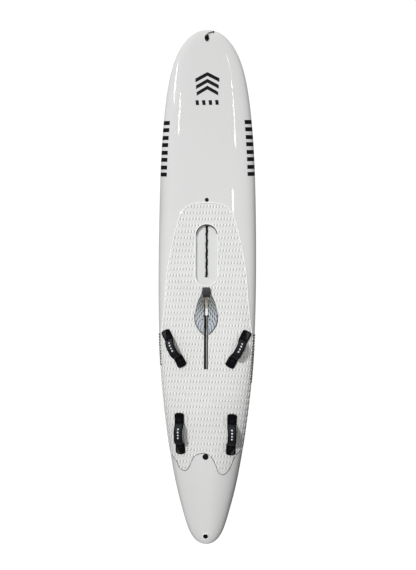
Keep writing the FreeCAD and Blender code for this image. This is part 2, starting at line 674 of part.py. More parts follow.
def make_pedal():
    """The wedge-shaped foot pedal, wider and higher in front."""
    start = PIVOT.x + size("pedal_start")
    base = PIVOT.z + size("pedal_up")
    end = start + size("pedal_length")
    front, aft = size("pedal_front_width") / 2, size("pedal_aft_width") / 2
    outline = [(start, -aft, base), (start, aft, base), (end, front, base), (end, -front, base)]
    face = Part.Face(Part.Wire(rounded_edges(outline, [8, 8, 10, 10], closed=True)))
    block = face.extrude(UP * 40)
    rise = [(start - 5, -60, base + size("pedal_aft_rise") - 1),
            (end + 5, -60, base + size("pedal_front_rise") + 1)]
    wedge = Part.makePolygon([Vector(*rise[0]), Vector(*rise[1]), Vector(end + 5, -60, base + 60),
                              Vector(start - 5, -60, base + 60), Vector(*rise[0])])
    trimmed = block.cut(Part.Face(wedge).extrude(Vector(0, 120, 0)))
    rim = [e for e in trimmed.Edges if e.CenterOfMass.z > base + 6 and len(e.Vertexes) == 2
           and abs(e.Vertexes[0].Z - e.Vertexes[1].Z) < 12]
    rounded = trimmed.makeFillet(2.5, rim)
    feature("daggerboard_pedal", rounded.cut(pedal_screw_bodies(0.02)))
    feature("pedal_screws", Part.makeCompound(pedal_screw_bodies(0)))


def make_slot_gaskets():
    """Two flexible strips along the bottom slot that leave room for the blade between them."""
    wide = size("case_inside") / 2 + size("case_wall")
    for name, y in (("slot_gasket_left", size("gasket_gap") / 2), ("slot_gasket_right", -wide)):
        strip = box(name, "{case_front} - {case_aft} + 2 * {case_wall}",
                    "{case_inside} / 2 + {case_wall} - {gasket_gap} / 2", "{gasket_thickness}",
                    size("case_aft") - size("case_wall"), y, KEEL - size("gasket_thickness") + 0.3)
        keep(strip, name)


def make_cover():
    """The leaf-shaped cover over the front of the trunk and its four screws."""
    base = DECK + 0.7
    top = base + size("cover_thickness")
    rim, crown = cover_face(0), cover_face(-1.8)
    rim.translate(UP * base)
    crown.translate(UP * base)
    plate = rim.extrude(UP * (size("cover_thickness") - 1.8))
    plate = plate.fuse(crown.extrude(UP * size("cover_thickness")))
    plate = plate.cut(deck_slot(0.6, base - 5, base + 40))
    screws, holes = [], []
    for x, y in cover_screw_places():
        shank = Part.makeCylinder(2, 22, Vector(x, y, top - 22.2))
        head = Part.makeCone(2, 4, 2.6, Vector(x, y, top - 2.8))
        recess = Part.makeBox(5, 1, 1, Vector(x - 2.5, y - 0.5, top - 1.2))
        screws.append(shank.fuse(head).removeSplitter().cut(recess))
        holes.append(Part.makeCylinder(2.1, 30, Vector(x, y, top - 25)))
        holes.append(Part.makeCone(2.1, 4.3, 2.8, Vector(x, y, top - 2.75)))
    feature("daggerboard_cover", plate.cut(holes))
    feature("daggerboard_cover_screws", Part.makeCompound(screws))


# ---------------------------------------------------------------- footstraps

def make_strap_masters():
    """One washer, one screw and one insert, built on their own axes."""
    washer = cut("WasherMaster", cylinder("WasherDisc", "{washer_radius}", "{washer_thickness}"),
                 cylinder("WasherHole", "{screw_shank_radius} + 0.2", "{washer_thickness}"))
    head = cylinder("ScrewHead", "{screw_head_radius}", "{screw_head_height}")
    shank = cylinder("ScrewShank", "{screw_shank_radius}", "{screw_length}", z=-size("screw_length"))
    drive = box("ScrewDrive", "{screw_head_radius}", "1.6", "2", -size("screw_head_radius") / 2, -0.8,
                size("screw_head_height") - 1.4)
    screw = cut("ScrewMaster", join("ScrewBlank", head, shank), drive)
    doc.recompute()
    return washer.Shape.copy(), screw.Shape.copy()


def insert_body(x, y):
    """An oblong plug with a row of five tapped holes along X."""
    top = insert_top(x, y)
    plug = oblong(size("insert_length"), size("insert_width"), size("insert_depth"), x, y, top)
    holes = [drill(size("insert_hole_radius"), x + step * size("insert_hole_pitch"), y,
                   top - size("insert_hole_depth"), top + 1) for step in range(-2, 3)]
    return plug.cut(holes)


def strap_path(screws, up):
    """The strap's centre line: flat feet, steep legs and a crowned top, at a height over the feet."""
    (aft_x, aft_y), (front_x, front_y) = screws
    along = Vector(front_x - aft_x, front_y - aft_y, 0)
    pitch = along.Length
    along.normalize()
    aft = Vector(aft_x, aft_y, pad_top(aft_x, aft_y) + up)
    front = Vector(front_x, front_y, pad_top(front_x, front_y) + up)
    crown = max(aft.z, front.z) - up + size("strap_crown") - size("strap_thickness") + up
    foot = size("strap_foot")
    tops = [Vector(aft.x, aft.y, 0) + along * reach + UP * crown for reach in (58, pitch - 58)]
    path = [aft - along * foot, aft + along * 24, aft + along * 33 + UP * 44, *tops,
            front - along * 33 + UP * 44, front - along * 24, front + along * foot]
    return path, along


def band(path, along, width, thick, trim):
    """A flat band of one width and thickness swept along a path, with its ends trimmed back."""
    points = list(path)
    points[0] = points[0] + along * trim
    points[-1] = points[-1] - along * trim
    radii = [0, 12, 34, 40, 40, 34, 12, 0]
    spine = Part.Wire(rounded_edges(points, radii))
    across = UP.cross(along).normalize() * (width / 2)
    start = points[0]
    corners = [start - across - UP * (thick / 2), start + across - UP * (thick / 2),
               start + across + UP * (thick / 2), start - across + UP * (thick / 2)]
    profile = Part.makePolygon(corners + [corners[0]])
    return spine.makePipeShell([profile], True, False)


def make_footstraps(grown):
    washer, screw = make_strap_masters()
    washers, screws = [], []
    under, layer = 0.4, 3.5
    for row, pair in STRAP_SCREWS.items():
        for side_name, side in (("left", 1), ("right", -1)):
            feet = [(x, side * y) for x, y in pair]
            path, along = strap_path(feet, under + size("strap_thickness") / 2)
            centre = under + layer + size("webbing_space") / 2
            web_path, _ = strap_path(feet, centre)
            cover = band(path, along, size("strap_width"), size("strap_thickness"), 0)
            hollow = band(web_path, along, size("webbing_width") + 1, size("webbing_space"), 7)
            webbing = band(web_path, along, size("webbing_width"), size("webbing_thickness"), 8)
            holes = []
            for x, y in feet:
                base = pad_top(x, y) + under + layer
                seat = base + (size("webbing_space") + size("webbing_thickness")) / 2
                for solids, master in ((washers, washer), (screws, screw)):
                    copy = master.copy()
                    rise = 0.05 if master is washer else 0.05 + size("washer_thickness")
                    copy.translate(Vector(x, y, seat + rise))
                    solids.append(copy)
                holes.append(drill(size("washer_radius") + 1, x, y, base + 1, base + 30))
                holes.append(drill(size("screw_hole_radius"), x, y, base - 20, base + 5))
            cutters = [hollow, grown] + holes
            feature(f"footstrap_cover_{row}_{side_name}", cover.cut(cutters))
            ways = [drill(size("screw_hole_radius"), x, y, DECK - 60, DECK + 40) for x, y in feet]
            feature(f"footstrap_webbing_{row}_{side_name}", webbing.cut(ways))
    feature("footstrap_washers", Part.makeCompound(washers))
    feature("footstrap_screws", Part.makeCompound(screws))
    used = [(x, side * y) for pair in STRAP_SCREWS.values() for x, y in pair for side in (1, -1)]
    spare = [(x, side * y) for x, y in SPARE_INSERTS for side in (1, -1)]
    feature("footstrap_inserts", Part.makeCompound([insert_body(x, y) for x, y in used]))
    feature("spare_strap_inserts", Part.makeCompound([insert_body(x, y) for x, y in spare]))


# ---------------------------------------------------------------- fin

def fin_section(chord, aft, z):
    """A foil section of the fin: round nose, sharp tail, centred on Y."""
    half = 0.052 * chord
    front = size("fin_x") + size("fin_base_chord") / 2 - aft
    outline = [(1.0, 0.0), (0.72, 0.55), (0.4, 0.97), (0.16, 0.86), (0.04, 0.5), (0.0, 0.0)]
    side = [Vector(front - share * chord, thick * half, z) for share, thick in outline]
    other = [Vector(v.x, -v.y, v.z) for v in reversed(side[:-1])]
    curve = Part.BSplineCurve()
    curve.interpolate(Points=side + other, Parameters=[float(i) for i in range(11)])
    return Part.Wire([curve.toShape()])


def make_fin():
    """The raked fin with its head, and the bolt, washer and barrel nut that pull it up into its box."""
    fin_x, base = size("fin_x"), KEEL - 0.5
    chord, sweep = size("fin_base_chord"), size("fin_sweep")
    stations = [(0, 1.0, 0.0), (0.25, 0.94, 0.09), (0.5, 0.8, 0.29), (0.75, 0.58, 0.62), (0.92, 0.34, 0.9),
                (1.0, 0.12, 1.07)]
    sections = [fin_section(chord * wide, sweep * back, base * (1 - down)) for down, wide, back in stations]
    blade = Part.makeLoft(sections, True)
    length, width = size("fin_head_length"), size("fin_head_width")
    head = Part.makeBox(length, width, size("fin_head_height") + 1,
                        Vector(fin_x - length / 2, -width / 2, base))
    flange = oblong(length + 24, width + 4, 3, fin_x, 0, base + 0.001)
    barrel_z = base + 26
    nut_hole = Part.makeCylinder(size("barrel_radius"), width + 2,
                                 Vector(fin_x, -width / 2 - 1, barrel_z), PORT)
    bolt_hole = drill(size("bolt_radius") + size("bolt_play"), fin_x, 0, barrel_z - 32, base + 80)
    fin = blade.fuse([head, flange]).removeSplitter().cut([nut_hole, bolt_hole])
    feature("fin", fin)
    barrel = Part.makeCylinder(size("barrel_radius") - 0.05, size("barrel_length"),
                               Vector(fin_x, -size("barrel_length") / 2, barrel_z), PORT)
    thread = drill(size("bolt_radius") + 0.02, fin_x, 0, barrel_z - 20, barrel_z + 20)
    feature("fin_barrel_nut", barrel.cut(thread))


def make_fin_box():
    """The moulded box: a socket for the fin's head below and a capped well for the bolt above."""
    fin_x = size("fin_x")
    bottom = KEEL + 0.4
    cup_top = deck_height(fin_x, size("cap_radius")) - 0.2
    seat = KEEL + 0.5 + size("fin_head_height") + 8
    body = box("FinBoxBody", "{fin_box_length}", "{fin_box_width}", "106",
               fin_x - size("fin_box_length") / 2, -size("fin_box_width") / 2, bottom)
    neck = cylinder("FinBoxNeck", "{cap_radius} + 4", "40", fin_x, 0, cup_top - 40)
    socket = box("FinBoxSocket", "{fin_head_length} + 2 * {fin_fit}", "{fin_head_width} + 2 * {fin_fit}",
                 "{fin_head_height} + 2 + 20", fin_x - size("fin_head_length") / 2 - size("fin_fit"),
                 -size("fin_head_width") / 2 - size("fin_fit"), bottom - 20)
    hole = cylinder("FinBoxBoltHole", "{bolt_radius} + {bolt_play}", "60", fin_x, 0, seat - 20)
    well = cylinder("FinBoxWell", "{bolt_washer_radius} + 1", "80", fin_x, 0, seat)
    cap_seat = cylinder("FinBoxCapSeat", "{cap_radius} + 0.2", "30",
                        fin_x, 0, cup_top - size("cap_thickness"))
    hollows = join("FinBoxHollows", socket, hole, well, cap_seat)
    keep(cut("FinBoxCut", join("FinBoxBlank", body, neck), hollows), "fin_box")

    washer = cut("FinBoltWasher",
                 cylinder("FinWasherDisc", "{bolt_washer_radius}", "{bolt_washer_thickness}"),
                 cylinder("FinWasherHole", "{bolt_radius} + {bolt_play}", "{bolt_washer_thickness}"))
    keep(place(washer, fin_x, 0, seat + 0.02), "fin_bolt_washer")
    head = cylinder("FinBoltHead", "{bolt_head_radius}", "{bolt_head_height}")
    shank = cylinder("FinBoltShank", "{bolt_radius}", "62", z=-62)
    socket_drive = cylinder("FinBoltDrive", "3", "4", z=size("bolt_head_height") - 3)
    bolt = cut("FinBolt", join("FinBoltBlank", head, shank), socket_drive)
    keep(place(bolt, fin_x, 0, seat + 0.04 + size("bolt_washer_thickness")), "fin_bolt")
    disc = cylinder("CapDisc", "{cap_radius}", "{cap_thickness}")
    coin_slot = box("CapSlot", "{cap_radius}", "2", "3",
                    -size("cap_radius") / 2, -1, size("cap_thickness") - 1.5)
    cap = cut("FinBoltCap", disc, coin_slot)
    keep(place(cap, fin_x, 0, cup_top - size("cap_thickness") + 0.6), "fin_bolt_cap")


# ---------------------------------------------------------------- vent, leash plug, tow eye

def make_vent():
    """The pressure vent: a threaded body in the deck, a slotted screw in it and its seal."""
    x = size("vent_x")
    top = deck_height(x, size("vent_radius")) - 0.1
    body = cylinder("VentBlank", "{vent_radius}", "{vent_depth}", x, 0, top - size("vent_depth"))
    bore = cylinder("VentBore", "{vent_screw_radius} + {vent_play}", "{vent_depth} - 6", x, 0,
                    top - size("vent_depth") + 6)
    seat = cylinder("VentSeat", "{vent_head_radius} + 0.6", "6", x, 0, top - 5)
    keep(cut("VentBody", body, join("VentHollow", bore, seat)), "vent_plug_body")
    head = cylinder("VentHead", "{vent_head_radius}", "3.4", x, 0, top - 3)
    shank = cylinder("VentShank", "{vent_screw_radius}", "14", x, 0, top - 17)
    slot = box("VentSlot", "{vent_head_radius} * 1.5", "2", "4",
               x - size("vent_head_radius") * 0.75, -1, top - 1.6)
    keep(cut("VentScrew", join("VentScrewBlank", head, shank), slot), "vent_screw")
    ring = Part.makeTorus(7.4, 0.85, Vector(x, 0, top - 4.05))
    feature("vent_seal", ring)


def leash_floor():
    return deck_height(size("leash_x"), 0) - size("leash_depth") - 3


def make_leash_plug():
    """A cup flush with the tail and the bar across it for a line."""
    x = size("leash_x")
    top = deck_height(x - size("leash_radius") / 2, size("leash_radius")) - 0.2
    blank = cylinder("LeashBlank", "{leash_radius}", "{leash_depth}", x, 0, top - size("leash_depth"))
    hollow = doc.addObject("Part::Sphere", "LeashHollow")
    bind(hollow, Radius="{leash_radius} - 3")
    place(hollow, x, 0, top)
    bar_hole = cylinder("LeashBarHole", "{leash_bar_radius} + 0.02", "2 * {leash_radius}",
                        x, -size("leash_radius"), top - 4, Rotation(NOSE, -90))
    keep(cut("LeashCup", blank, join("LeashHollows", hollow, bar_hole)), "leash_plug_cup")
    bar = cylinder("LeashBar", "{leash_bar_radius}", "2 * {leash_radius} - 2",
                   x, 1 - size("leash_radius"), top - 4, Rotation(NOSE, -90))
    keep(bar, "leash_bar")


def tow_frame():
    """Where the tow eye sits on the nose and how far the deck there slopes."""
    x = size("tow_x")
    slope = (deck_height(x + 10, 0) - deck_height(x - 10, 0)) / 20
    return Placement(Vector(x, 0, deck_height(x, 0)), Rotation(PORT, -math.degrees(math.atan(slope))))


def tow_insert_block(grow):
    """The plug that takes the tow eye's screws, under the nose skin."""
    block = oblong(46 + 2 * grow, 20 + 2 * grow, 20 + 2 * grow, 0, 0, 0)
    block.Placement = tow_frame()
    block.translate(Vector(0, 0, -6 + grow))
    return block


def make_tow_eye(outer_with_gap):
    """A moulded eye on the nose: an oblong foot, a bail over it and two screws."""
    frame = tow_frame()
    foot = oblong(size("tow_length"), size("tow_width"), 14, 0, 0, size("tow_base"))
    ring = Part.makeTorus(size("bail_radius"), size("bail_wire"), Vector(0, 0, size("tow_base") - 2), NOSE)
    half = Part.makeBox(60, 60, 30, Vector(-30, -30, size("tow_base") - 3))
    screws, holes = [], []
    for along in (-14, 14):
        shank = Part.makeCylinder(size("tow_screw_radius"), 22, Vector(along, 0, size("tow_base") - 22.4))
        head = Part.makeCone(2, 3.6, 2, Vector(along, 0, size("tow_base") - 2.4))
        screws.append(shank.fuse(head).removeSplitter())
        holes.append(Part.makeCylinder(size("tow_screw_radius") + 0.05, 60, Vector(along, 0, -40)))
        holes.append(Part.makeCone(2.05, 4, 2.45, Vector(along, 0, size("tow_base") - 2.44)))
    eye = foot.fuse(ring.common(half)).removeSplitter().cut(holes)
    eye.Placement = frame
    feature("tow_eye", eye.cut(outer_with_gap))
    screw_group = Part.makeCompound(screws)
    screw_group.Placement = frame
    feature("tow_eye_screws", screw_group)
    block = tow_insert_block(0)
    hole_group = Part.makeCompound(holes)
    hole_group.Placement = frame
    feature("tow_eye_insert", block.cut(hole_group))


# the tow line's route from inside the bail, as (x, y, height over the deck at x on the centreline)
TOW_ROUTE = [(1684, 0, 10.7), (1704, -1, 9.9), (1716, -6, 10.2), (1723.5, -16, 7.4), (1727.5, -28, 5.4),
             (1729, -40, 5)]


def make_tow_line():
    """The short line through the bail, a knot at each end."""
    radius = size("tow_line_radius")
    points = [Vector(x, y, deck_height(x, 0) + up) for x, y, up in TOW_ROUTE]
    radii = [0.0]
    for before, here, after in zip(points, points[1:], points[2:]):
        turn = (here - before).getAngle(after - here)
        shorter = min((here - before).Length, (after - here).Length)
        radii.append(0.45 * shorter / math.tan(turn / 2))
    radii.append(0.0)
    print("tow line radii", [round(r, 1) for r in radii[1:-1]])
    print("tow line points", [tuple(round(c, 2) for c in p) for p in points])
    spine = Part.Wire(rounded_edges(points, radii))
    profile = Part.Wire(Part.makeCircle(radius, points[0], points[1] - points[0]))
    tube = spine.makePipeShell([profile], True, False)
    expected = math.pi * radius ** 2 * spine.Length
    print("tow line length", round(spine.Length, 1), "volume ratio", round(tube.Volume / expected, 4))
    feature("tow_line", tube)
    ends = {"tow_line_stop_knot": (points[0], points[1]), "tow_line_end_knot": (points[-1], points[-2])}
    for name, (end, inward) in ends.items():
        outward = (end - inward).normalize()
        feature(name, Part.makeSphere(size("tow_knot_radius"), end + outward * 3))


# ---------------------------------------------------------------- build, check and write

def build():
    grown = make_hull()
    make_mast_track()
    make_daggerboard_case()
    make_pivot()
    make_daggerboard_head()
    make_blade()
    make_pedal()
    make_slot_gaskets()
    make_cover()
    make_footstraps(grown)
    make_fin()
    make_fin_box()
    make_vent()
    make_leash_plug()
    make_tow_eye(hull_solid(0.2))
    make_tow_line()
    doc.recompute()


def check_and_write():
    bad = [o.Label for o in doc.Objects if "Invalid" in o.State or "Error" in o.State]
    if bad:
        raise RuntimeError(f"failed objects: {bad}")
    os.makedirs("parts", exist_ok=True)
    for part in parts:
        shape = part.Shape
        if shape.isNull() or not shape.isValid() or not shape.Solids:
            raise RuntimeError(f"{part.Label} has no valid solid")
        print(part.Label, len(shape.Solids), "solids", round(shape.Volume / 1000, 1), "cm3")
        shape.exportStep(os.path.join("parts", part.Label + ".step"))


build()
check_and_write()
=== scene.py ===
import json
import math

import bmesh
import bpy
import numpy as np
from mathutils import Matrix, Vector


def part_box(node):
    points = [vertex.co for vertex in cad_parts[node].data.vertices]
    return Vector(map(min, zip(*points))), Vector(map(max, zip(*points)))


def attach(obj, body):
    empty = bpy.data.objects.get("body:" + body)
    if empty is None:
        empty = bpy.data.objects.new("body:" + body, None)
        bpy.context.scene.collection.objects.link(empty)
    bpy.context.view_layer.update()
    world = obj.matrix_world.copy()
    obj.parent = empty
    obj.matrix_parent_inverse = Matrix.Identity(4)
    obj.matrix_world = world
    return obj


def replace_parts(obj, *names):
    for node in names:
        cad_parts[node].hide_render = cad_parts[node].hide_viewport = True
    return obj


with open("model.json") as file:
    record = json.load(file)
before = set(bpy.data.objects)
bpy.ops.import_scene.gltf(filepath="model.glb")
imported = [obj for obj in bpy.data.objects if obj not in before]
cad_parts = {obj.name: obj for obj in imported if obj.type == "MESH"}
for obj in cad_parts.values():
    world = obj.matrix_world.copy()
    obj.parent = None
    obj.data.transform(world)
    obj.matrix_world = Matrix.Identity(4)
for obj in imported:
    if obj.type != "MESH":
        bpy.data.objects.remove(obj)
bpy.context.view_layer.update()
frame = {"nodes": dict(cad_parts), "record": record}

# Looks of the windsurf board, in the CAD frame: metres, +X nose, +Y port, +Z up out of the deck.
scene = bpy.context.scene
scene.view_settings.view_transform = "Standard"

# ---- driving dimensions

HALF_LENGTH = 1.75
KEEL = 0.440
DECK = 0.590
SKIN = 0.004
PAD_GAP = 0.0002
PAD_THICKNESS = 0.003
PLAN = ((-1.75, .400), (-1.6, .337), (-1.4, .319), (-1.05, .322), (-.6, .332), (0, .338),
        (.5, .350), (1.0, .385), (1.4, .446), (1.75, .548))
THICKNESSES = ((-1.75, .050), (-1.3, .112), (-.85, .147), (-.3, .150), (.5, .150), (1.1, .128), (1.75, .060))
RAIL_SHARE = 0.47
DECK_POWER = 2.3
BOTTOM_POWER = 2.2
STRAP_SCREWS = {"front": ((-.448, .179), (-.291, .261)), "rear": ((-1.042, .1725), (-.858, .179))}
SPARE_INSERTS = ((-.285, .213), (-.438, .129), (-.858, .125), (-1.042, .125))
INSERT_PITCH = 0.0137


# ---- camera

def look_from(place, target, lens, roll):
    """A camera at place that looks at target with the nose (+X) up in the picture."""
    data = bpy.data.cameras.new("photo_camera")
    data.lens = lens
    data.sensor_width = 36
    data.sensor_fit = "AUTO"
    ahead = (Vector(target) - Vector(place)).normalized()
    right = ahead.cross(Vector((1, 0, 0))).normalized()
    up = right.cross(ahead)
    turn = Matrix((right, up, -ahead)).transposed()
    camera = bpy.data.objects.new("photo_camera", data)
    camera.matrix_world = Matrix.Translation(place) @ turn.to_4x4() @ Matrix.Rotation(roll, 4, "Z")
    scene.collection.objects.link(camera)
    scene.camera = camera


CAMERA_DISTANCE = 3.4985
CAMERA_X = 0.0636
LENS = 32.58
ROLL = math.radians(0.35)
look_from((CAMERA_X, -0.22, DECK + CAMERA_DISTANCE), (CAMERA_X, -0.011, DECK), LENS, ROLL)


# ---- hull form, as in the CAD

def spline(stations, x):
    """The natural cubic spline through given stations."""
    places, values = np.array(stations, float).T
    count = len(places)
    gaps = np.diff(places)
    slopes = np.diff(values) / gaps
    system, right = np.eye(count), np.zeros(count)
    for i in range(1, count - 1):
        system[i, i - 1:i + 2] = gaps[i - 1], 2 * (gaps[i - 1] + gaps[i]), gaps[i]
        right[i] = 6 * (slopes[i] - slopes[i - 1])
    bends = np.linalg.solve(system, right)
    x = np.asarray(x, float)
    i = np.clip(np.searchsorted(places, x, side="right") - 1, 0, count - 2)
    after, before, gap = x - places[i], places[i + 1] - x, gaps[i]
    curved = (bends[i] * before ** 3 + bends[i + 1] * after ** 3) / (6 * gap)
    first = (values[i] / gap - bends[i] * gap / 6) * before
    return curved + first + (values[i + 1] / gap - bends[i + 1] * gap / 6) * after


def fullness(x):
    return np.sqrt(np.clip(1 - (x / HALF_LENGTH) ** 2, 1e-9, 1))


def half_width(x):
    return spline(PLAN, x) * fullness(x)


def thickness(x):
    return spline(THICKNESSES, x) * np.sqrt(np.clip(1 - np.abs(x / HALF_LENGTH) ** 40, 1e-6, 1))


def rail_height(x):
    scoop = 0.212 * (np.clip(x - 0.25, 0, None) / 1.5) ** 2.2
    kick = 0.015 * (np.clip(-0.9 - x, 0, None) / 0.85) ** 2
    return KEEL + scoop + kick + RAIL_SHARE * spline(THICKNESSES, x)


def powers(x, above):
    wide = 3.5 + 4.5 * fullness(x)
    return np.where(above, wide, 0.8 * wide), np.where(above, DECK_POWER, BOTTOM_POWER)


def field(points):
    """Zero on the hull's surface and positive outside it."""
    x, y, z = points.T
    up = z - rail_height(x)
    wide, high = powers(x, up > 0)
    rise = np.where(up > 0, 1 - RAIL_SHARE, RAIL_SHARE) * thickness(x)
    return (np.abs(y) / half_width(x)) ** wide + (np.abs(up) / rise) ** high - 1


def hull_normals(points):
    step = 1e-5
    slope = np.stack([field(points + shift) - field(points - shift) for shift in np.eye(3) * step], 1)
    return slope / np.linalg.norm(slope, axis=1, keepdims=True)


def hull_surface(x, angle):
    """The hull's points at stations x, in directions angle: 0 at the port rail, a quarter turn on deck."""
    side, up = np.abs(np.cos(angle)), np.abs(np.sin(angle))
    above = np.sin(angle) > 0
    wide, high = powers(x, above)
    low, top = np.full(x.shape, 0.5), np.full(x.shape, 1.5)
    for _ in range(40):
        reach = (low + top) / 2
        inside = (reach * side) ** wide + (reach * up) ** high < 1
        low, top = np.where(inside, reach, low), np.where(inside, top, reach)
    rise = np.where(above, 1 - RAIL_SHARE, RAIL_SHARE) * thickness(x)
    across, up = reach * np.cos(angle), reach * np.sin(angle)
    return np.stack([x, half_width(x) * across, rail_height(x) + rise * up], -1)


def deck_height(x, y):
    x, y = np.asarray(x, float), np.asarray(y, float)
    across = np.clip(np.abs(y) / half_width(x), 0, 1)
    rise = (1 - across ** powers(x, True)[0]) ** (1 / DECK_POWER)
    return rail_height(x) + (1 - RAIL_SHARE) * thickness(x) * rise


def pad_top(x, y):
    return deck_height(x, y) + PAD_GAP + PAD_THICKNESS


# ---- mesh helpers

def mesh_object(name, points, faces, smooth=True, sharp=40):
    mesh = bpy.data.meshes.new(name)
    mesh.from_pydata([tuple(p) for p in points], [], faces)
    mesh.update()
    thing = bpy.data.objects.new(name, mesh)
    scene.collection.objects.link(thing)
    outward(thing)
    if smooth:
        soften(thing, sharp)
    return thing


def outward(thing):
    """Turn every face outward."""
    work = bmesh.new()
    work.from_mesh(thing.data)
    bmesh.ops.recalc_face_normals(work, faces=work.faces)
    work.to_mesh(thing.data)
    work.free()


def soften(thing, sharp=40):
    thing.data.shade_smooth()
    thing.data.set_sharp_from_angle(angle=math.radians(sharp))


def grid_faces(rows, columns, start=0, flip=False):
    faces = []
    for i in range(rows - 1):
        for j in range(columns - 1):
            a = start + i * columns + j
            face = (a, a + 1, a + columns + 1, a + columns)
            faces.append(face[::-1] if flip else face)
    return faces


def rim_ring(rows, columns):
    """Indices round the edge of a grid, in order."""
    top = list(range(columns))
    right = [i * columns + columns - 1 for i in range(1, rows)]
    bottom = [(rows - 1) * columns + j for j in range(columns - 2, -1, -1)]
    left = [i * columns for i in range(rows - 2, 0, -1)]
    return top + right + bottom + left


def sheet_between(name, upper, lower, every=1):
    """A closed mesh between two grids of points, the lower one thinned to one row and column in `every`."""
    rows, columns = upper.shape[:2]
    few = lower[::every, ::every]
    low_rows, low_columns = few.shape[:2]
    start = rows * columns
    faces = grid_faces(rows, columns) + grid_faces(low_rows, low_columns, start, flip=True)
    ring, low_ring = rim_ring(rows, columns), rim_ring(low_rows, low_columns)
    for k, here in enumerate(low_ring):
        following = low_ring[(k + 1) % len(low_ring)]
        run = [ring[(k * every + step) % len(ring)] for step in range(every + 1)]
        faces.append(run[::-1] + [start + here, start + following])
    return mesh_object(name, np.concatenate([upper.reshape(-1, 3), few.reshape(-1, 3)]), faces)


def across_grid(x, low, high, shares):
    """Grids of x and y: at every x, y runs from low to high in the given shares."""
    grid_x = np.repeat(x[:, None], len(shares), 1)
    return grid_x, low[:, None] + (high - low)[:, None] * shares[None, :]


def plate_between(name, grid_x, grid_y, floor, top, every=1):
    """A closed mesh from a flat floor up to the heights in top."""
    lower = np.stack([grid_x, grid_y, np.full(top.shape, floor)], -1)
    return sheet_between(name, np.stack([grid_x, grid_y, top], -1), lower, every)


def prisms(name, outlines, low, high):
    """Upright prisms over (x, y) outlines, as one mesh."""
    points, faces = [], []
    for outline in outlines:
        start, count = len(points), len(outline)
        points += [(x, y, z) for z in (low, high) for x, y in outline]
        sides = [(i, (i + 1) % count, count + (i + 1) % count, count + i) for i in range(count)]
        ends = [tuple(range(count))[::-1], tuple(range(count, 2 * count))]
        faces += [tuple(start + i for i in face) for face in ends + sides]
    return mesh_object(name, points, faces, smooth=False)


def stadium_outline(x, y, length, width, steps=24):
    reach = (length - width) / 2
    turns = [math.pi * (k / steps) - math.pi / 2 for k in range(steps + 1)]
    ahead = [(x + reach + width / 2 * math.cos(a), y + width / 2 * math.sin(a)) for a in turns]
    astern = [(x - reach - width / 2 * math.cos(a), y - width / 2 * math.sin(a)) for a in turns]
    return ahead + astern


def circle_outline(x, y, radius, steps=40):
    turns = [2 * math.pi * k / steps for k in range(steps)]
    return [(x + radius * math.cos(a), y + radius * math.sin(a)) for a in turns]


def rectangle_outline(x_low, x_high, y_low, y_high):
    return [(x_low, y_low), (x_high, y_low), (x_high, y_high), (x_low, y_high)]


def boolean(thing, cutter, operation="DIFFERENCE", sharp=40):
    """Cut with, or keep what lies inside, another mesh, and drop that mesh."""
    modifier = thing.modifiers.new("cut", "BOOLEAN")
    modifier.object = cutter
    modifier.operation = operation
    modifier.solver = "MANIFOLD"
    evaluated = thing.evaluated_get(bpy.context.evaluated_depsgraph_get())
    mesh = bpy.data.meshes.new_from_object(evaluated)
    thing.modifiers.clear()
    old, thing.data = thing.data, mesh
    bpy.data.meshes.remove(old)
    bpy.data.meshes.remove(cutter.data)
    soften(thing, sharp)
    return thing


def smooth_outline(stations, count):
    """A Catmull-Rom run through given (x, y) points, with the ends kept."""
    points = [Vector(p) for p in stations]
    points = [2 * points[0] - points[1]] + points + [2 * points[-1] - points[-2]]
    run = []
    for i in range(1, len(points) - 2):
        a, b, c, d = points[i - 1:i + 3]
        for step in range(count):
            t = step / count
            square, cube = 2 * a - 5 * b + 4 * c - d, 3 * b - a - 3 * c + d
            run.append(0.5 * (2 * b + (c - a) * t + square * t ** 2 + cube * t ** 3))
    run.append(points[-2])
    return [tuple(p) for p in run]


# ---- materials

GRAIN_DEPTH = 0.0006
GRAINS = {"noise": ("TexNoise", {"Detail": 3}, "Fac"), "weave": ("TexWave", {"Distortion": 2.0}, "Fac"),
          "cells": ("TexVoronoi", {}, "Distance")}


def put(material, socket, value):
    """Join an input to another node's output, or set it to a plain value."""
    if isinstance(value, bpy.types.NodeSocket):
        material.node_tree.links.new(value, socket)
    else:
        socket.default_value = value


def add(material, kind, inputs, **settings):
    """A new node with its settings, and its inputs joined or set."""
    node = material.node_tree.nodes.new("ShaderNode" + kind)
    for setting, value in settings.items():
        setattr(node, setting, value)
    for name, value in inputs.items():
        put(material, node.inputs[name], value)
    return node


def base_color(material):
    return material.node_tree.nodes["Principled BSDF"].inputs["Base Color"]


def object_place(material):
    """The object coordinates as separate X, Y and Z outputs."""
    return add(material, "SeparateXYZ", {0: add(material, "TexCoord", {}).outputs["Object"]}).outputs


def color_ramp(material, share, stops):
    """The colour output of a ramp through (position, colour) stops."""
    ramp = add(material, "ValToRGB", {"Fac": share})
    elements = ramp.color_ramp.elements
    while len(elements) < len(stops):
        elements.new(0.5)
    for element, (position, color) in zip(elements, stops):
        element.position = position
        element.color = (*color, 1)
    return ramp.outputs["Color"]


def multiplied(material, first, second, amount=1.0):
    """The first colour multiplied by the second, in full or in part."""
    inputs = {"Factor": amount, "A": first, "B": second}
    return add(material, "Mix", inputs, data_type="RGBA", blend_type="MULTIPLY").outputs["Result"]


def ranged(material, value, low, high, **settings):
    """Nought to one as a value goes from low to high."""
    inputs = {"Value": value, "From Min": low, "From Max": high}
    return add(material, "MapRange", inputs, **settings).outputs["Result"]


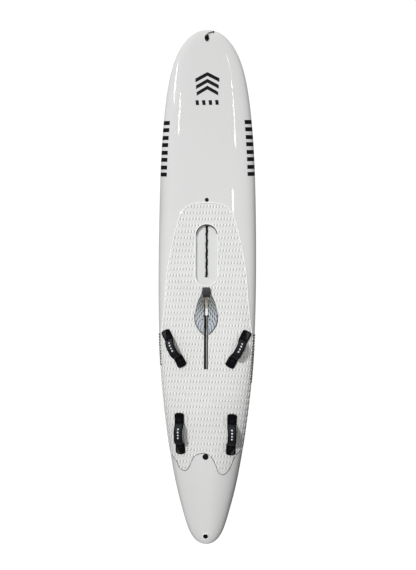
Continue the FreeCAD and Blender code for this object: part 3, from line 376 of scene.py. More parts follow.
def shader(name, color, roughness, metallic=0.0, coat=0.0, coat_roughness=0.08, specular=0.5, tone=0.06,
           tone_scale=6.0, rough_spread=0.06, grain=0.0, grain_scale=900.0, kind="noise", stretch=(1, 1, 1)):
    """A finish with slow colour variation, uneven roughness and a fine bump, all in object space."""
    material = bpy.data.materials.new(name)
    material.use_nodes = True
    place = add(material, "TexCoord", {}).outputs["Object"]
    place = add(material, "Mapping", {"Vector": place, "Scale": stretch}).outputs[0]
    slow = add(material, "TexNoise", {"Vector": place, "Scale": tone_scale, "Detail": 5}).outputs["Fac"]
    dark, pale = [c * (1 - tone) for c in color], [min(1, c * (1 + tone)) for c in color]
    spread = {"Value": slow, "To Min": max(0.02, roughness - rough_spread),
              "To Max": min(1.0, roughness + rough_spread)}
    surface = {"Base Color": color_ramp(material, slow, ((0.3, dark), (0.7, pale))),
               "Roughness": add(material, "MapRange", spread).outputs["Result"],
               "Metallic": metallic, "Coat Weight": coat, "Coat Roughness": coat_roughness,
               "Specular IOR Level": specular}
    if grain:
        texture, inputs, output = GRAINS[kind]
        height = add(material, texture, {"Vector": place, "Scale": grain_scale, **inputs}).outputs[output]
        bump = {"Height": height, "Strength": grain, "Distance": GRAIN_DEPTH}
        surface["Normal"] = add(material, "Bump", bump).outputs["Normal"]
    for socket, value in surface.items():
        put(material, material.node_tree.nodes["Principled BSDF"].inputs[socket], value)
    return material


def grade(material, axis, low, high, stops):
    """Colour a finish along one object axis, from low to high, keeping its own variation on top."""
    graded = color_ramp(material, ranged(material, object_place(material)[axis], low, high), stops)
    base = base_color(material)
    put(material, base, multiplied(material, graded, base.links[0].from_socket))


def paint_rail_shade(material):
    """Paint shade into a white finish: darker towards both rails amidships, and over the sides of the tail.
    """
    def count(operation, first, second):
        return add(material, "Math", {0: first, 1: second}, operation=operation).outputs[0]

    place = object_place(material)
    square = count("POWER", count("DIVIDE", place["X"], HALF_LENGTH), 2)
    full = count("SQRT", count("SUBTRACT", 1.0001, square), 0)
    across = count("DIVIDE", place["Y"], count("MULTIPLY", full, MIDDLE_HALF_WIDTH))
    share = count("MULTIPLY", count("ADD", across, 1), 0.5)
    color = base_color(material).links[0].from_socket
    for stops, none_at, full_at in (RAIL_SHADE, TAIL_SHADE):
        painted_shade = color_ramp(material, share, [(position, (tone, tone, tone)) for position, tone in stops])
        amount = ranged(material, place["X"], none_at, full_at, interpolation_type="SMOOTHSTEP")
        color = multiplied(material, color, painted_shade, amount)
    put(material, base_color(material), color)


MIDDLE_HALF_WIDTH = 0.335
# painted shade: what the white is multiplied by, from the starboard rail (0) to the port one (1), and the x
# where that starts and is full
RAIL_SHADE = ((0, .96), (.05, 1), (.90, 1), (.96, .92), (1, .82)), 1.15, 0.55
TAIL_SHADE = (((0, .60), (.06, .66), (.14, .78), (.27, .90), (.42, 1), (.60, 1), (.80, .95), (.92, .88), (1, .80)),
        -0.30, -1.35)
WHITE = (0.94, 0.94, 0.94)
# painted light and shade on the straps' satin panels: black aft, lighter towards the front
PANEL_LIGHT_AND_SHADE = ((0, (.003, .003, .004)), (.45, (.006, .008, .011)), (.85, (.014, .017, .021)),
               (1, (.024, .027, .031)))
# painted highlight along the daggerboard blade's ridge
RIDGE_HIGHLIGHT = (.98, .98, .97)
BLACK = (0.006, 0.006, 0.007)
PANEL_CLOTH = dict(specular=0.3, tone=0.15, grain=0.3, grain_scale=1500, kind="weave")
GLOSSY_LEAF = dict(coat=0.5, tone=0.12, tone_scale=14, grain=0.04, grain_scale=500)
FINISHES = {
    "hull_skin": ((0.69, 0.695, 0.685), 0.5, dict(coat=0.6, specular=0.2, coat_roughness=0.025, tone=0.012,
                                                  tone_scale=2.2, rough_spread=0.03)),
    "foam": ((0.86, 0.85, 0.80), 0.9, dict(tone=0.04, grain=0.5, grain_scale=400, kind="cells")),
    "nonskid": ((0.93, 0.93, 0.92), 0.42, dict(tone=0.015, tone_scale=3, grain=0.12, grain_scale=1100)),
    # the sheet is greyer than the grips as painted shade between them; the hollow finish is painted shade
    # beside each grip
    "nonskid_sheet": ((0.71, 0.71, 0.70), 0.5, dict(tone=0.03, tone_scale=5, grain=0.2)),
    "nonskid_hollow": ((0.43, 0.43, 0.42), 0.6, dict(tone_scale=5, grain=0.2)),
    "tray_plastic": ((0.66, 0.67, 0.66), 0.36, dict(tone=0.02, grain=0.06, grain_scale=700)),
    "anodised_aluminium": ((0.020, 0.020, 0.022), 0.38, dict(metallic=0.6, tone=0.1, grain=0.1,
                                                             grain_scale=300, stretch=(0.03, 1, 1))),
    "lip_rubber": ((0.62, 0.62, 0.61), 0.5, dict(tone=0.03, grain=0.1)),
    "black_plastic": (BLACK, 0.5, dict(specular=0.15, tone=0.2, grain=0.15, grain_scale=1400)),
    "stainless": ((0.50, 0.50, 0.50), 0.32, dict(metallic=1.0, grain=0.1, grain_scale=600,
                                                 stretch=(1, 8, 1))),
    # dark_screw: near-black, painted shade of the recesses the strap screws sit in
    "dark_screw": ((0.004, 0.004, 0.005), 0.5, dict(specular=0.2, tone=0.2, grain=0.1)),
    "bush_plastic": ((0.010, 0.010, 0.011), 0.55, dict(specular=0.12, tone=0.1, grain=0.1)),
    "head_plastic": (WHITE, 0.30, dict(coat=0.2, tone=0.05, grain=0.05, grain_scale=500)),
    "blade_laminate": (WHITE, 0.24, dict(coat=0.4, tone=0.08, grain=0.04, grain_scale=260,
                                         stretch=(0.1, 1, 1))),
    "pedal_plastic": (WHITE, 0.45, dict(specular=0.3, tone=0.12, grain=0.2)),
    # gasket_rubber: also the dark beads that are painted shadow along edges
    "gasket_rubber": ((0.03, 0.03, 0.03), 0.6, dict(tone=0.15, grain=0.2)),
    "cover_plastic": (WHITE, 0.22, GLOSSY_LEAF),
    "cover_grips": (WHITE, 0.22, GLOSSY_LEAF),
    "strap_neoprene": ((0.0035, 0.0035, 0.0045), 0.8, dict(specular=0.12, tone=0.3, tone_scale=30, grain=0.5,
                                                           grain_scale=1600, kind="weave")),
    "webbing": ((0.03, 0.03, 0.03), 0.8, dict(tone=0.2, grain=0.6, grain_scale=700, kind="weave")),
    "fin_composite": ((0.022, 0.022, 0.026), 0.16, dict(coat=0.6, tone=0.2, grain=0.03)),
    "brass": ((0.60, 0.42, 0.18), 0.3, dict(metallic=1.0, tone=0.08)),
    "vent_plastic": (BLACK, 0.45, dict(specular=0.15, tone=0.2, grain=0.1)),
    "seal_rubber": ((0.02, 0.02, 0.02), 0.6, dict(tone=0.2)),
    "line_fibre": ((0.005, 0.005, 0.006), 0.85, dict(specular=0.1, tone=0.3, tone_scale=200, grain=0.8,
                                                     kind="weave")),
    "panel_cloth_front": (WHITE, 0.5, PANEL_CLOTH),
    "panel_cloth_rear": (WHITE, 0.5, PANEL_CLOTH),
    "stitch_thread": ((0.020, 0.021, 0.024), 0.7, dict(specular=0.2, tone=0.2, tone_scale=90, grain=0.3)),
    # rim_white: the white beads that are painted highlights on edges
    "rim_white": ((0.93, 0.93, 0.93), 0.35, dict(coat=0.3, tone=0.02, tone_scale=30, grain=0.05)),
    "print_white": ((0.72, 0.72, 0.73), 0.5, dict(tone_scale=60, grain=0.1)),
    # print_black: real print on the nose and rails, and also painted shade as the leaf's strokes and the
    # head's plates
    "print_black": ((0.004, 0.004, 0.007), 0.4, dict(specular=0.15, tone=0.15, tone_scale=40, grain=0.05)),
}
# finishes with painted light and shade that change along one axis of the board, from one place to another
PAINTED_LIGHT_GRADES = {
    # head: the white aft end is a painted highlight, going beige and then brown towards the pedal as painted
    # shade
    "head_plastic": ("X", -0.150, -0.015, ((0, (1, 1, 1)), (.36, (1, 1, 1)), (.44, (.46, .44, .38)),
                                           (.70, (.42, .39, .32)), (1, (.20, .16, .11)))),
    # blade: a pale band along the ridge is a painted highlight; the dark grey on either side is painted
    # shade in the slot
    "blade_laminate": ("Y", -0.012, 0.012, ((.20, (.05, .05, .052)), (.27, RIDGE_HIGHLIGHT), (.46, RIDGE_HIGHLIGHT),
                                            (.52, (.085, .082, .08)), (1, (.045, .045, .047)))),
    # pedal: darker aft and lighter towards its front edge, painted shade and light
    "pedal_plastic": ("X", -0.018, 0.048, ((0, (.018, .018, .020)), (.55, (.055, .056, .060)),
                                           (.92, (.085, .087, .092)), (1, (.19, .19, .20)))),
    # leaf cover and its grips: a bluish pale aft part is painted reflection and a darker front is painted
    # shade, on a white finish
    "cover_plastic": ("X", -0.27, 0.03, ((0, (.50, .55, .60)), (.45, (.36, .40, .43)),
                                         (.75, (.16, .17, .155)), (1, (.08, .085, .08)))),
    "cover_grips": ("X", -0.27, 0.03, ((0, (.82, .88, .94)), (.45, (.74, .79, .84)),
                                       (.75, (.42, .44, .42)), (1, (.24, .25, .24)))),
    "panel_cloth_front": ("X", -0.425, -0.318, PANEL_LIGHT_AND_SHADE),
    "panel_cloth_rear": ("X", -1.010, -0.892, PANEL_LIGHT_AND_SHADE),
}
finishes = {name: shader(name, color, roughness, **more)
            for name, (color, roughness, more) in FINISHES.items()}
for graded_name, grading in PAINTED_LIGHT_GRADES.items():
    grade(finishes[graded_name], *grading)
# painted shade on the white hull and non-skid, towards the rails and over the sides of the tail
for white_name in ("hull_skin", "nonskid", "nonskid_sheet", "nonskid_hollow"):
    paint_rail_shade(finishes[white_name])


def finish(thing, name, body="hull"):
    """Give a piece its finish and its body."""
    thing.data.materials.clear()
    thing.data.materials.append(finishes[name])
    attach(thing, body)
    return thing


for part in frame["record"]["subparts"]:
    node = frame["nodes"][part["node"]]
    for slot in node.material_slots:
        slot.material = finishes[part["material_slot"]]


# ---- tow line on the nose

def tow_line():
    """The short free line from the nose eye, on the points the CAD runs it through."""
    route = ((1.684, 0, .0107), (1.704, -.001, .0099), (1.716, -.006, .0102), (1.7235, -.016, .0074),
             (1.7275, -.028, .0054), (1.729, -.040, .0050))
    points = [(x, y, float(deck_height(x, 0)) + up) for x, y, up in route]
    data = bpy.data.curves.new("tow_line_cord", "CURVE")
    data.dimensions = "3D"
    data.bevel_depth = 0.0025
    data.bevel_resolution = 6
    data.resolution_u = 12
    data.use_fill_caps = True
    line = data.splines.new("NURBS")
    line.points.add(len(points) - 1)
    for point, place in zip(line.points, points):
        point.co = (*place, 1)
    line.order_u = 3
    line.use_endpoint_u = True
    piece = bpy.data.objects.new("tow_line_cord", data)
    scene.collection.objects.link(piece)
    data.materials.append(finishes["line_fibre"])
    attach(piece, "hull")
    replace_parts(piece, "tow_line")


tow_line()


# ---- hull skins

TIP = 0.9993


def shell(name, first, last, cutters):
    """A 4 mm skin between two directions round the section, with the fittings' openings cut through it."""
    along = np.linspace(0.006, 1, 101)[:-1]
    turn = np.concatenate([along, 2 - along[::-1]]) * math.pi / 2
    stations = -HALF_LENGTH * TIP * np.cos(turn)
    angles = np.linspace(first, last, 89)
    x, angle = np.meshgrid(stations, angles, indexing="ij")
    outer = hull_surface(x.ravel(), angle.ravel())
    inner = outer - np.minimum(SKIN, 0.3 * thickness(outer[:, 0]))[:, None] * hull_normals(outer)
    shape = (len(stations), len(angles), 3)
    piece = sheet_between(name, outer.reshape(shape), inner.reshape(shape))
    for cutter in cutters:
        boolean(piece, cutter, sharp=35)
    return finish(piece, "hull_skin")


USED_INSERTS = [screw for pair in STRAP_SCREWS.values() for screw in pair]
ALL_INSERTS = [(x, side * y) for x, y in USED_INSERTS + list(SPARE_INSERTS) for side in (1, -1)]
tray_low, tray_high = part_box("mast_track_tray")
tray_middle = (tray_low.x + tray_high.x) / 2
tray_length = tray_high.x - tray_low.x
tray_width = tray_high.y - tray_low.y
case_low, case_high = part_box("daggerboard_case")
SLOT_AFT = -0.508
SLOT_HALF = 0.013
GLUE = 0.0005
CAP_WELL, VENT_WELL, LEASH_WELL = 0.021, 0.0135, 0.0175
INSERT_WELL = (0.077, 0.023)


def middle_of(node):
    low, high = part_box(node)
    return (low.x + high.x) / 2, (low.y + high.y) / 2


def glued_opening(node):
    """The (x, y) outline of a node's box with room for glue."""
    low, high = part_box(node)
    return rectangle_outline(low.x - GLUE, high.x + GLUE, low.y - GLUE, high.y + GLUE)


def make_skins():
    low, high = DECK - 0.06, DECK + 0.06
    wells = [stadium_outline(tray_middle, 0, tray_length + 2 * GLUE, tray_width + 2 * GLUE),
             circle_outline(*middle_of("fin_bolt_cap"), CAP_WELL),
             circle_outline(*middle_of("vent_plug_body"), VENT_WELL)]
    wells += [stadium_outline(x, y, *INSERT_WELL, 8) for x, y in ALL_INSERTS]
    slot = rectangle_outline(SLOT_AFT - 0.0045, case_high.x + GLUE, case_low.y - GLUE, case_high.y + GLUE)
    leash = circle_outline(*middle_of("leash_plug_cup"), LEASH_WELL)
    deck_cutters = [prisms("wells", wells, low, high), prisms("deck_slot", [slot], low, high),
                    prisms("leash_hole", [leash], KEEL + 0.025, high)]
    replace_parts(shell("deck_shell", 0, math.pi, deck_cutters), "deck_skin")
    below = [glued_opening("daggerboard_case"), glued_opening("fin_box")]
    cutter = prisms("bottom_slots", below, KEEL - 0.02, KEEL + 0.02)
    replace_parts(shell("bottom_shell", math.pi, 2 * math.pi, [cutter]), "bottom_skin")


make_skins()


# ---- non-skid

GRIP_SPACING = 0.0213
GRIP_ROWS = 0.0425
GRIP_SHAPE = ((0.0175, -0.0050), (0.0045, 0.0042), (-0.0150, 0.0044), (-0.0035, -0.0066))
SHADE_SHAPE = ((0.0160, 0.0070), (0.0050, 0.0140), (-0.0125, 0.0135), (-0.0060, 0.0062))
GRIP_TOP = 0.60
GRIP_ROOT = 0.0002
PAD_BASE = 0.0006
PAD_JOINT = 0.0008
GRIP_RISE = 0.0033
PAD_AFT, PAD_FRONT = -1.245, 0.635
SCREW_HOLE, SPARE_HOLE = 0.0042, 0.0031
CLEAR_OF_HOLE = 0.0085


def block_faces(first, flip=False):
    """The six faces of a block of eight points, four round its base and then four round its top."""
    faces = [(k, (k + 1) % 4, 4 + (k + 1) % 4, 4 + k) for k in range(4)] + [(3, 2, 1, 0), (4, 5, 6, 7)]
    return [tuple(first + i for i in (face[::-1] if flip else face)) for face in faces]


def grip_places(x_low, x_high, half_wide):
    """Centres of the grips in rows across the board, each row a quarter of a space from the next."""
    places = []
    across = math.floor(half_wide / GRIP_SPACING) + 2
    for i in range(math.floor(x_low / GRIP_ROWS), math.ceil(x_high / GRIP_ROWS) + 1):
        for j in range(-across, across + 1):
            places.append((i * GRIP_ROWS, (j - 0.25 * (i % 4)) * GRIP_SPACING))
    return np.array(places)


def grips(name, places, shape, surface, low, high):
    """Closed leaning grips, long ahead and blunt astern. surface(x, across, height) gives a point."""
    base = np.array(shape)
    outline = np.concatenate([base, base * GRIP_TOP])
    spots = places[:, None, :] + outline[None, :, :]
    heights = np.broadcast_to(np.repeat([low, high], 4), spots.shape[:2])
    points = surface(spots[..., 0], spots[..., 1], heights)
    faces = [face for n in range(len(places)) for face in block_faces(8 * n)]
    return mesh_object(name, points.reshape(-1, 3), faces, smooth=False)


def pad_edges():
    """The front and aft edges of the non-skid area: round in front, past the rails, two lobes astern."""
    front = [(-.620, .390), (-.260, .312), (-.060, .286), (.120, .272), (.290, .245), (.440, .210),
             (.530, .182), (.585, .145), (.612, .090), (.622, 0)]
    aft = [(-.960, .390), (-1.126, .217), (-1.185, .184), (-1.211, .147), (-1.190, .116), (-1.110, .078),
           (-1.086, .018), (-1.103, -.032), (-1.158, -.066), (-1.214, -.088), (-1.233, -.120),
           (-1.196, -.162), (-1.086, -.217), (-.960, -.390)]
    starboard = [(x, -y) for x, y in reversed(front[:-1])]
    return smooth_outline(front + starboard, 8), smooth_outline(aft, 8)


def pad_outline():
    front, aft = pad_edges()
    return front + aft[::-1]


def leaf_outline(grow=0.0):
    stations = ((.036, .026), (-.004, .037), (-.050, .058), (-.105, .073), (-.150, .078), (-.200, .071),
                (-.245, .046), (-.274, .017))
    port = smooth_outline([(x, y + grow) for x, y in stations], 6)
    return port + [(x, -y) for x, y in reversed(port)]


def deck_girth(stations):
    """Sections of the deck at stations: girth from the centre to the rail, with y and z along it."""
    count = 200
    spread = np.linspace(0, math.pi / 2, 260)
    runs, ys, zs = [], [], []
    for x in stations:
        profile = hull_surface(np.full(spread.shape, x), spread)[::-1]
        profile = profile[profile[:, 2] > rail_height(x) + 0.002]
        run = np.concatenate([[0], np.cumsum(np.linalg.norm(np.diff(profile[:, 1:], axis=0), axis=1))])
        even = np.linspace(0, run[-1], count)
        runs.append(run[-1])
        ys.append(np.interp(even, run, profile[:, 1]))
        zs.append(np.interp(even, run, profile[:, 2]))
    return np.array(runs), np.array(ys), np.array(zs)


def make_pad():
    """The moulded non-skid: a thin sheet wrapped over both rails, its raised grips, and flat dark patches
    beside the grips that are painted shade.
    """
    every = 4
    rows, half_columns = 73 * every, 25 * every
    stations = np.linspace(PAD_AFT, PAD_FRONT, rows + 1)
    runs, ys, zs = deck_girth(stations)

    def wrapped(x, across, height):
        """The point at x and girth across, height above the deck."""
        x, across = np.asarray(x, float), np.asarray(across, float)
        row = np.clip((x - stations[0]) / (stations[1] - stations[0]), 0, rows - 1e-6)
        i = row.astype(int)
        mix = row - i
        share = np.clip(np.abs(across) / (runs[i] * (1 - mix) + runs[i + 1] * mix), 0, 1) * (ys.shape[1] - 1)
        j = np.minimum(share.astype(int), ys.shape[1] - 2)
        part = share - j
        y, z = [(t[i, j] * (1 - part) + t[i, j + 1] * part) * (1 - mix)
                + (t[i + 1, j] * (1 - part) + t[i + 1, j + 1] * part) * mix for t in (ys, zs)]
        flat = np.stack([x, np.sign(across) * y, z], -1)
        normals = hull_normals(flat.reshape(-1, 3)).reshape(flat.shape)
        return flat + normals * np.asarray(height)[..., None]

    share = np.linspace(-1, 1, 2 * half_columns + 1)
    grid_x = np.repeat(stations[:, None], share.size, 1)
    across = runs[:, None] * share[None, :]
    upper = wrapped(grid_x, across, np.full(across.shape, PAD_GAP + PAD_BASE))
    lower = wrapped(grid_x, across, np.full(across.shape, PAD_GAP))
    sheet = sheet_between("nonskid_sheet", upper, lower, every)
    places = grip_places(-1.25, 0.63, 0.42)
    limit = np.interp(places[:, 0], stations, runs) - 0.011
    inside_ends = (places[:, 0] > PAD_AFT + 0.02) & (places[:, 0] < PAD_FRONT - 0.022)
    places = places[(np.abs(places[:, 1]) < limit) & inside_ends]
    holes = insert_holes()
    keep = np.array([(px, py) for px, py in places
                     if all(math.hypot(px - x, py - y) > CLEAR_OF_HOLE for x, y in holes)])
    floor = PAD_GAP + PAD_BASE
    raised = grips("nonskid_grips", keep, GRIP_SHAPE, wrapped, floor - GRIP_ROOT, PAD_GAP + GRIP_RISE)
    # flat dark patches on one side of each grip: painted shade
    shade = grips("nonskid_shade_patches", keep, SHADE_SHAPE, wrapped, floor - GRIP_ROOT, floor + 0.0003)

    def cut(piece, outlines, operation="DIFFERENCE"):
        boolean(piece, prisms("pad_cutter", outlines, KEEL, DECK + 0.1), operation, sharp=30)

    for piece, edge in ((sheet, 0.0), (raised, 0.002), (shade, 0.002)):
        cut(piece, [pad_outline()], "INTERSECT")
        grow = 2 * (PAD_JOINT + edge)
        cut(piece, [stadium_outline(tray_middle, 0, tray_length + grow, tray_width + grow)])
        cut(piece, [leaf_outline(PAD_JOINT + edge)])
        half = SLOT_HALF + 0.001 + edge
        cut(piece, [rectangle_outline(SLOT_AFT - 0.001 - edge, case_high.x - 0.003, -half, half)])
    cut(sheet, [circle_outline(x, y, SPARE_HOLE if is_spare(x, y) else SCREW_HOLE, 16) for x, y in holes])
    finish(sheet, "nonskid_sheet")
    finish(raised, "nonskid")
    finish(shade, "nonskid_hollow")
    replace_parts(sheet, "nonskid_pad")


def is_spare(x, y):
    return (x, abs(y)) not in USED_INSERTS


def insert_holes():
    """The small holes in the pad: one over each strap screw, five over each spare insert."""
    holes = []
    for x, y in ALL_INSERTS:
        reach = 2 if (x, abs(y)) in SPARE_INSERTS else 0
        holes += [(x + step * INSERT_PITCH, y) for step in range(-reach, reach + 1)]
    return holes


def make_spare_inserts():
    """The spare inserts, each just below the lowest point of the deck over it, so that the pad covers it."""
    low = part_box("spare_strap_inserts")[0].z
    length, width = 0.075, 0.021
    piece = None
    for x, y in SPARE_INSERTS:
        for side in (1, -1):
            top = float(deck_height(x - length / 2, y + width / 2)) - 0.0008
            block = prisms("spare_inserts", [stadium_outline(x, side * y, length, width)], low, top)
            piece = boolean(piece, block, "UNION", sharp=30) if piece else block
    bores = [circle_outline(x, y, 0.0025, 16) for x, y in insert_holes() if is_spare(x, y)]
    boolean(piece, prisms("insert_bores", bores, low - 0.01, DECK + 0.05), sharp=30)
    finish(piece, "black_plastic")
    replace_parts(piece, "spare_strap_inserts")


make_pad()
make_spare_inserts()


# ---- lofts and ribbons

def tube_faces(count, around, start=0):
    """Faces of a tube through count rings of equally many points, with a cap on each end."""
    faces = []
    for ring in range(start, start + (count - 1) * around, around):
        for step in range(around):
            a, b = ring + step, ring + (step + 1) % around
            faces.append((a, b, b + around, a + around))
    last = start + (count - 1) * around
    return faces + [tuple(range(start, start + around))[::-1], tuple(range(last, last + around))]


def loft(name, rings):
    """A closed mesh through rings of equally many points, with flat caps."""
    rings = np.asarray(rings)
    return mesh_object(name, rings.reshape(-1, 3), tube_faces(*rings.shape[:2]), sharp=50)


ARC_STEP = 0.0015


def rounded_path(points, radii):
    """Points along straight runs joined by tangent arcs."""
    points = [Vector(p) for p in points]
    run = [points[0]]
    for i in range(1, len(points) - 1):
        back = (points[i - 1] - points[i]).normalized()
        ahead = (points[i + 1] - points[i]).normalized()
        half = back.angle(ahead) / 2
        centre = points[i] + (back + ahead).normalized() * (radii[i] / math.sin(half))
        reach = radii[i] / math.tan(half)
        first, last = points[i] + back * reach - centre, points[i] + ahead * reach - centre
        sweep = first.angle(last)
        steps = max(3, int(sweep * radii[i] / ARC_STEP))
        axis = first.cross(last).normalized()
        run += [centre + Matrix.Rotation(sweep * k / steps, 3, axis) @ first for k in range(steps + 1)]
    run.append(points[-1])
    return run


def even_line(points, count):
    """The run resampled evenly, with its tangents and its length."""
    points = np.array([tuple(p) for p in points])
    run = np.concatenate([[0], np.cumsum(np.linalg.norm(np.diff(points, axis=0), axis=1))])
    wanted = np.linspace(0, run[-1], count)
    line = np.stack([np.interp(wanted, run, points[:, k]) for k in range(3)], 1)
    tangent = np.gradient(line, axis=0)
    for _ in range(3):
        tangent[1:-1] = (tangent[:-2] + 2 * tangent[1:-1] + tangent[2:]) / 4
    return line, tangent / np.linalg.norm(tangent, axis=1, keepdims=True), run[-1]


def bead(name, outline, radius, finish_name, lift=0.0):
    """A thin round bead laid along an (x, y) run on the deck, or lifted over it."""
    rise = PAD_GAP + 0.4 * radius + lift
    points = [(x, y, float(deck_height(x, y)) + rise) for x, y in outline]
    line, tangent, _ = even_line(points, 4 * len(points))
    normals = hull_normals(line - (0, 0, rise))
    turns = np.arange(8) * math.pi / 4
    rings = [point + radius * (np.outer(np.cos(turns), np.cross(way, up)) + np.outer(np.sin(turns), up))
             for point, way, up in zip(line, tangent, normals)]
    finish(loft(name, rings), finish_name)


def clear_of_rails(outline):
    return [(x, y) for x, y in outline if abs(y) < half_width(x) - 0.012]


pad_front_edge, pad_aft_edge = [clear_of_rails(edge) for edge in pad_edges()]
# a dark bead along the pad's aft edge: painted shadow
bead("pad_aft_shadow", pad_aft_edge, 0.0019, "gasket_rubber")
# a white bead along the pad's front edge: painted highlight
bead("pad_front_highlight", pad_front_edge, 0.0036, "rim_white")
# a white bead round the tray: painted highlight on its rim
tray_rim = stadium_outline(tray_middle, 0, tray_length + 0.0070, tray_width + 0.0070)
bead("tray_rim_highlight", tray_rim + tray_rim[:1], 0.0034, "rim_white")
arc_centre = tray_middle + (tray_length - tray_width) / 2
arc_radius = tray_width / 2 - 0.0025
arc_turns = np.radians(np.linspace(-84, 84, 40))
arc = [(arc_centre + arc_radius * math.cos(turn), arc_radius * math.sin(turn)) for turn in arc_turns]
# a dark arc inside the tray's front wall: painted shadow under its lip
bead("tray_front_shadow", arc, 0.0026, "gasket_rubber")
# a white ring round the leash plug: painted highlight
leash_ring = circle_outline(*middle_of("leash_plug_cup"), 0.0204)
bead("leash_rim_highlight", leash_ring + leash_ring[:1], 0.0028, "rim_white")


# ---- footstraps

STRAP_FOOT = 0.050
STRAP_CROWN = 0.062
STRAP_HALF_THICK = 0.005
STRAP_UNDER = 0.0004
STRAP_RADII = (0, .012, .034, .040, .040, .034, .012, 0)
STRAP_BOW = 0.005
WEB_HALF_WIDE, WEB_HALF_THICK = 0.0225, 0.0018
UNDER_WEB = 0.0035
CORNERS = ((-1, -1), (1, -1), (1, 1), (-1, 1))


def strap_run(row, side, up, trim=0.0, bow=0.0):
    """The strap's centre line from its aft foot to its front foot, and the direction across it."""
    (aft_x, aft_y), (front_x, front_y) = STRAP_SCREWS[row]
    along = Vector((front_x - aft_x, side * (front_y - aft_y), 0))
    pitch = along.length
    along.normalize()
    aft = Vector((aft_x, side * aft_y, float(pad_top(aft_x, aft_y)) + up))
    front = Vector((front_x, side * front_y, float(pad_top(front_x, front_y)) + up))
    crown = max(aft.z, front.z) + STRAP_CROWN
    rise = Vector((0, 0, 1))
    out = rise.cross(along).normalized() * side * bow
    bend, shoulder, shoulder_rise, top = 0.024, 0.033, 0.044, 0.058
    tops = [Vector((aft.x, aft.y, 0)) + along * reach + rise * crown + out for reach in (top, pitch - top)]
    lift = rise * shoulder_rise
    points = [aft - along * (STRAP_FOOT - trim), aft + along * bend, aft + along * shoulder + lift, *tops,
              front - along * shoulder + lift, front - along * bend, front + along * (STRAP_FOOT - trim)]
    return rounded_path(points, STRAP_RADII), rise.cross(along).normalized()


def strap_half_width(share, run):
    """Half width along a strap: broad rounded feet and a narrower crown."""
    waist = 0.0330 - 0.0046 * math.sin(math.pi * share) ** 2
    end = min(share, 1 - share) * run / 0.018
    return waist * (1 - (1 - min(1.0, end)) ** 2.6) ** (1 / 2.6) if end < 1 else waist


def pillow_section(line, tangent, across, half_wide, half_thick):
    """A ring of a padded band: crowned faces, a stitched channel along each side and a rolled edge."""
    around = 48
    normal = np.cross(tangent, across)
    turns = (np.arange(around) + 0.5) * 2 * math.pi / around
    side = np.sign(np.cos(turns)) * np.abs(np.cos(turns)) ** 0.55
    up = np.sign(np.sin(turns)) * np.abs(np.sin(turns)) ** 0.62
    channel = 1 - 0.20 * np.exp(-((np.abs(side) - 0.80) / 0.045) ** 2)
    return line + np.outer(side * half_wide, across) + np.outer(up * half_thick * channel, normal)


def settle(rings, row, line, foot_height):
    """Lay the feet of a strap on the deck's own slope."""
    for i, ring in enumerate(rings):
        x, y = STRAP_SCREWS[row][0 if i < len(rings) / 2 else 1]
        base = float(pad_top(x, y))
        share = np.clip(1 - (line[i][2] - base - foot_height) / 0.02, 0, 1)
        ring[:, 2] += share * (pad_top(ring[:, 0], ring[:, 1]) - base)


def make_strap(row, side):
    """A padded neoprene strap with its satin crown panel, stitching and four round studs."""
    side_name = "left" if side > 0 else "right"
    name = f"footstrap_{row}_{side_name}"
    run, across = strap_run(row, side, STRAP_UNDER + STRAP_HALF_THICK, bow=STRAP_BOW)
    count = 150
    line, tangent, length = even_line(run, count)
    across = np.array(across)
    shares = np.linspace(0.0012, 0.9988, count)
    wobble = np.sin(np.arange(count) * 0.9 + 2.1 * side) * 0.00012
    rings = []
    for i, share in enumerate(shares):
        wide = strap_half_width(share, length)
        thick = STRAP_HALF_THICK * min(1.0, (wide / 0.024) ** 0.6)
        crease = 0.0004 * math.exp(-((min(share, 1 - share) - 0.27) / 0.02) ** 2) * math.sin(i * 1.6)
        rings.append(pillow_section(line[i], tangent[i], across, wide, thick + wobble[i] + crease))
    settle(rings, row, line, STRAP_HALF_THICK)
    strap = loft(name + "_padding", rings)
    web_run, _ = strap_run(row, side, STRAP_UNDER + UNDER_WEB + WEB_HALF_THICK, trim=0.007)
    web_line, web_tangent, _ = even_line(web_run, 90)
    hollow = []
    for point, way in zip(web_line, web_tangent):
        wide, thick = WEB_HALF_WIDE * across, WEB_HALF_THICK * np.cross(way, across)
        hollow.append([point + a * wide + b * thick for a, b in CORNERS])
    boolean(strap, loft("strap_hollow", hollow), sharp=50)
    for x, y in STRAP_SCREWS[row]:
        base = float(pad_top(x, y)) + STRAP_UNDER + UNDER_WEB
        for name_of_cut, radius, steps, low, high in (("washer_well", 0.0128, 48, 0.001, 0.03),
                                                      ("screw_way", SCREW_HOLE, 24, -0.02, 0.005)):
            hole = circle_outline(x, side * y, radius, steps)
            boolean(strap, prisms(name_of_cut, [hole], base + low, base + high), sharp=50)
    finish(strap, "strap_neoprene")
    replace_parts(strap, f"footstrap_cover_{row}_{side_name}")
    dress_strap(name, row, line, tangent, across, length)


def on_strap(line, tangent, across, share, sideways, lift):
    """A point over the strap's top face, share along it and sideways in metres, lifted off its middle."""
    place = share * (len(line) - 1)
    low = min(int(place), len(line) - 2)
    mix = place - low
    point = line[low] * (1 - mix) + line[low + 1] * mix
    way = tangent[low] * (1 - mix) + tangent[low + 1] * mix
    normal = np.cross(way / np.linalg.norm(way), across)
    return point + sideways * across + lift * normal


STITCH = [(*corner, 0) for corner in CORNERS] + [(.8 * a, .6 * b, 1) for a, b in CORNERS]
PANEL_HALF = 0.0215
STITCH_LINE = 0.0245
STUD_STEPS = 20
STUD_RINGS = ((0.0004, 0.0054), (0.0018, 0.0054), (0.0024, 0.0042), (0.0026, 0.0001))
STUD_PITCH = 0.0186


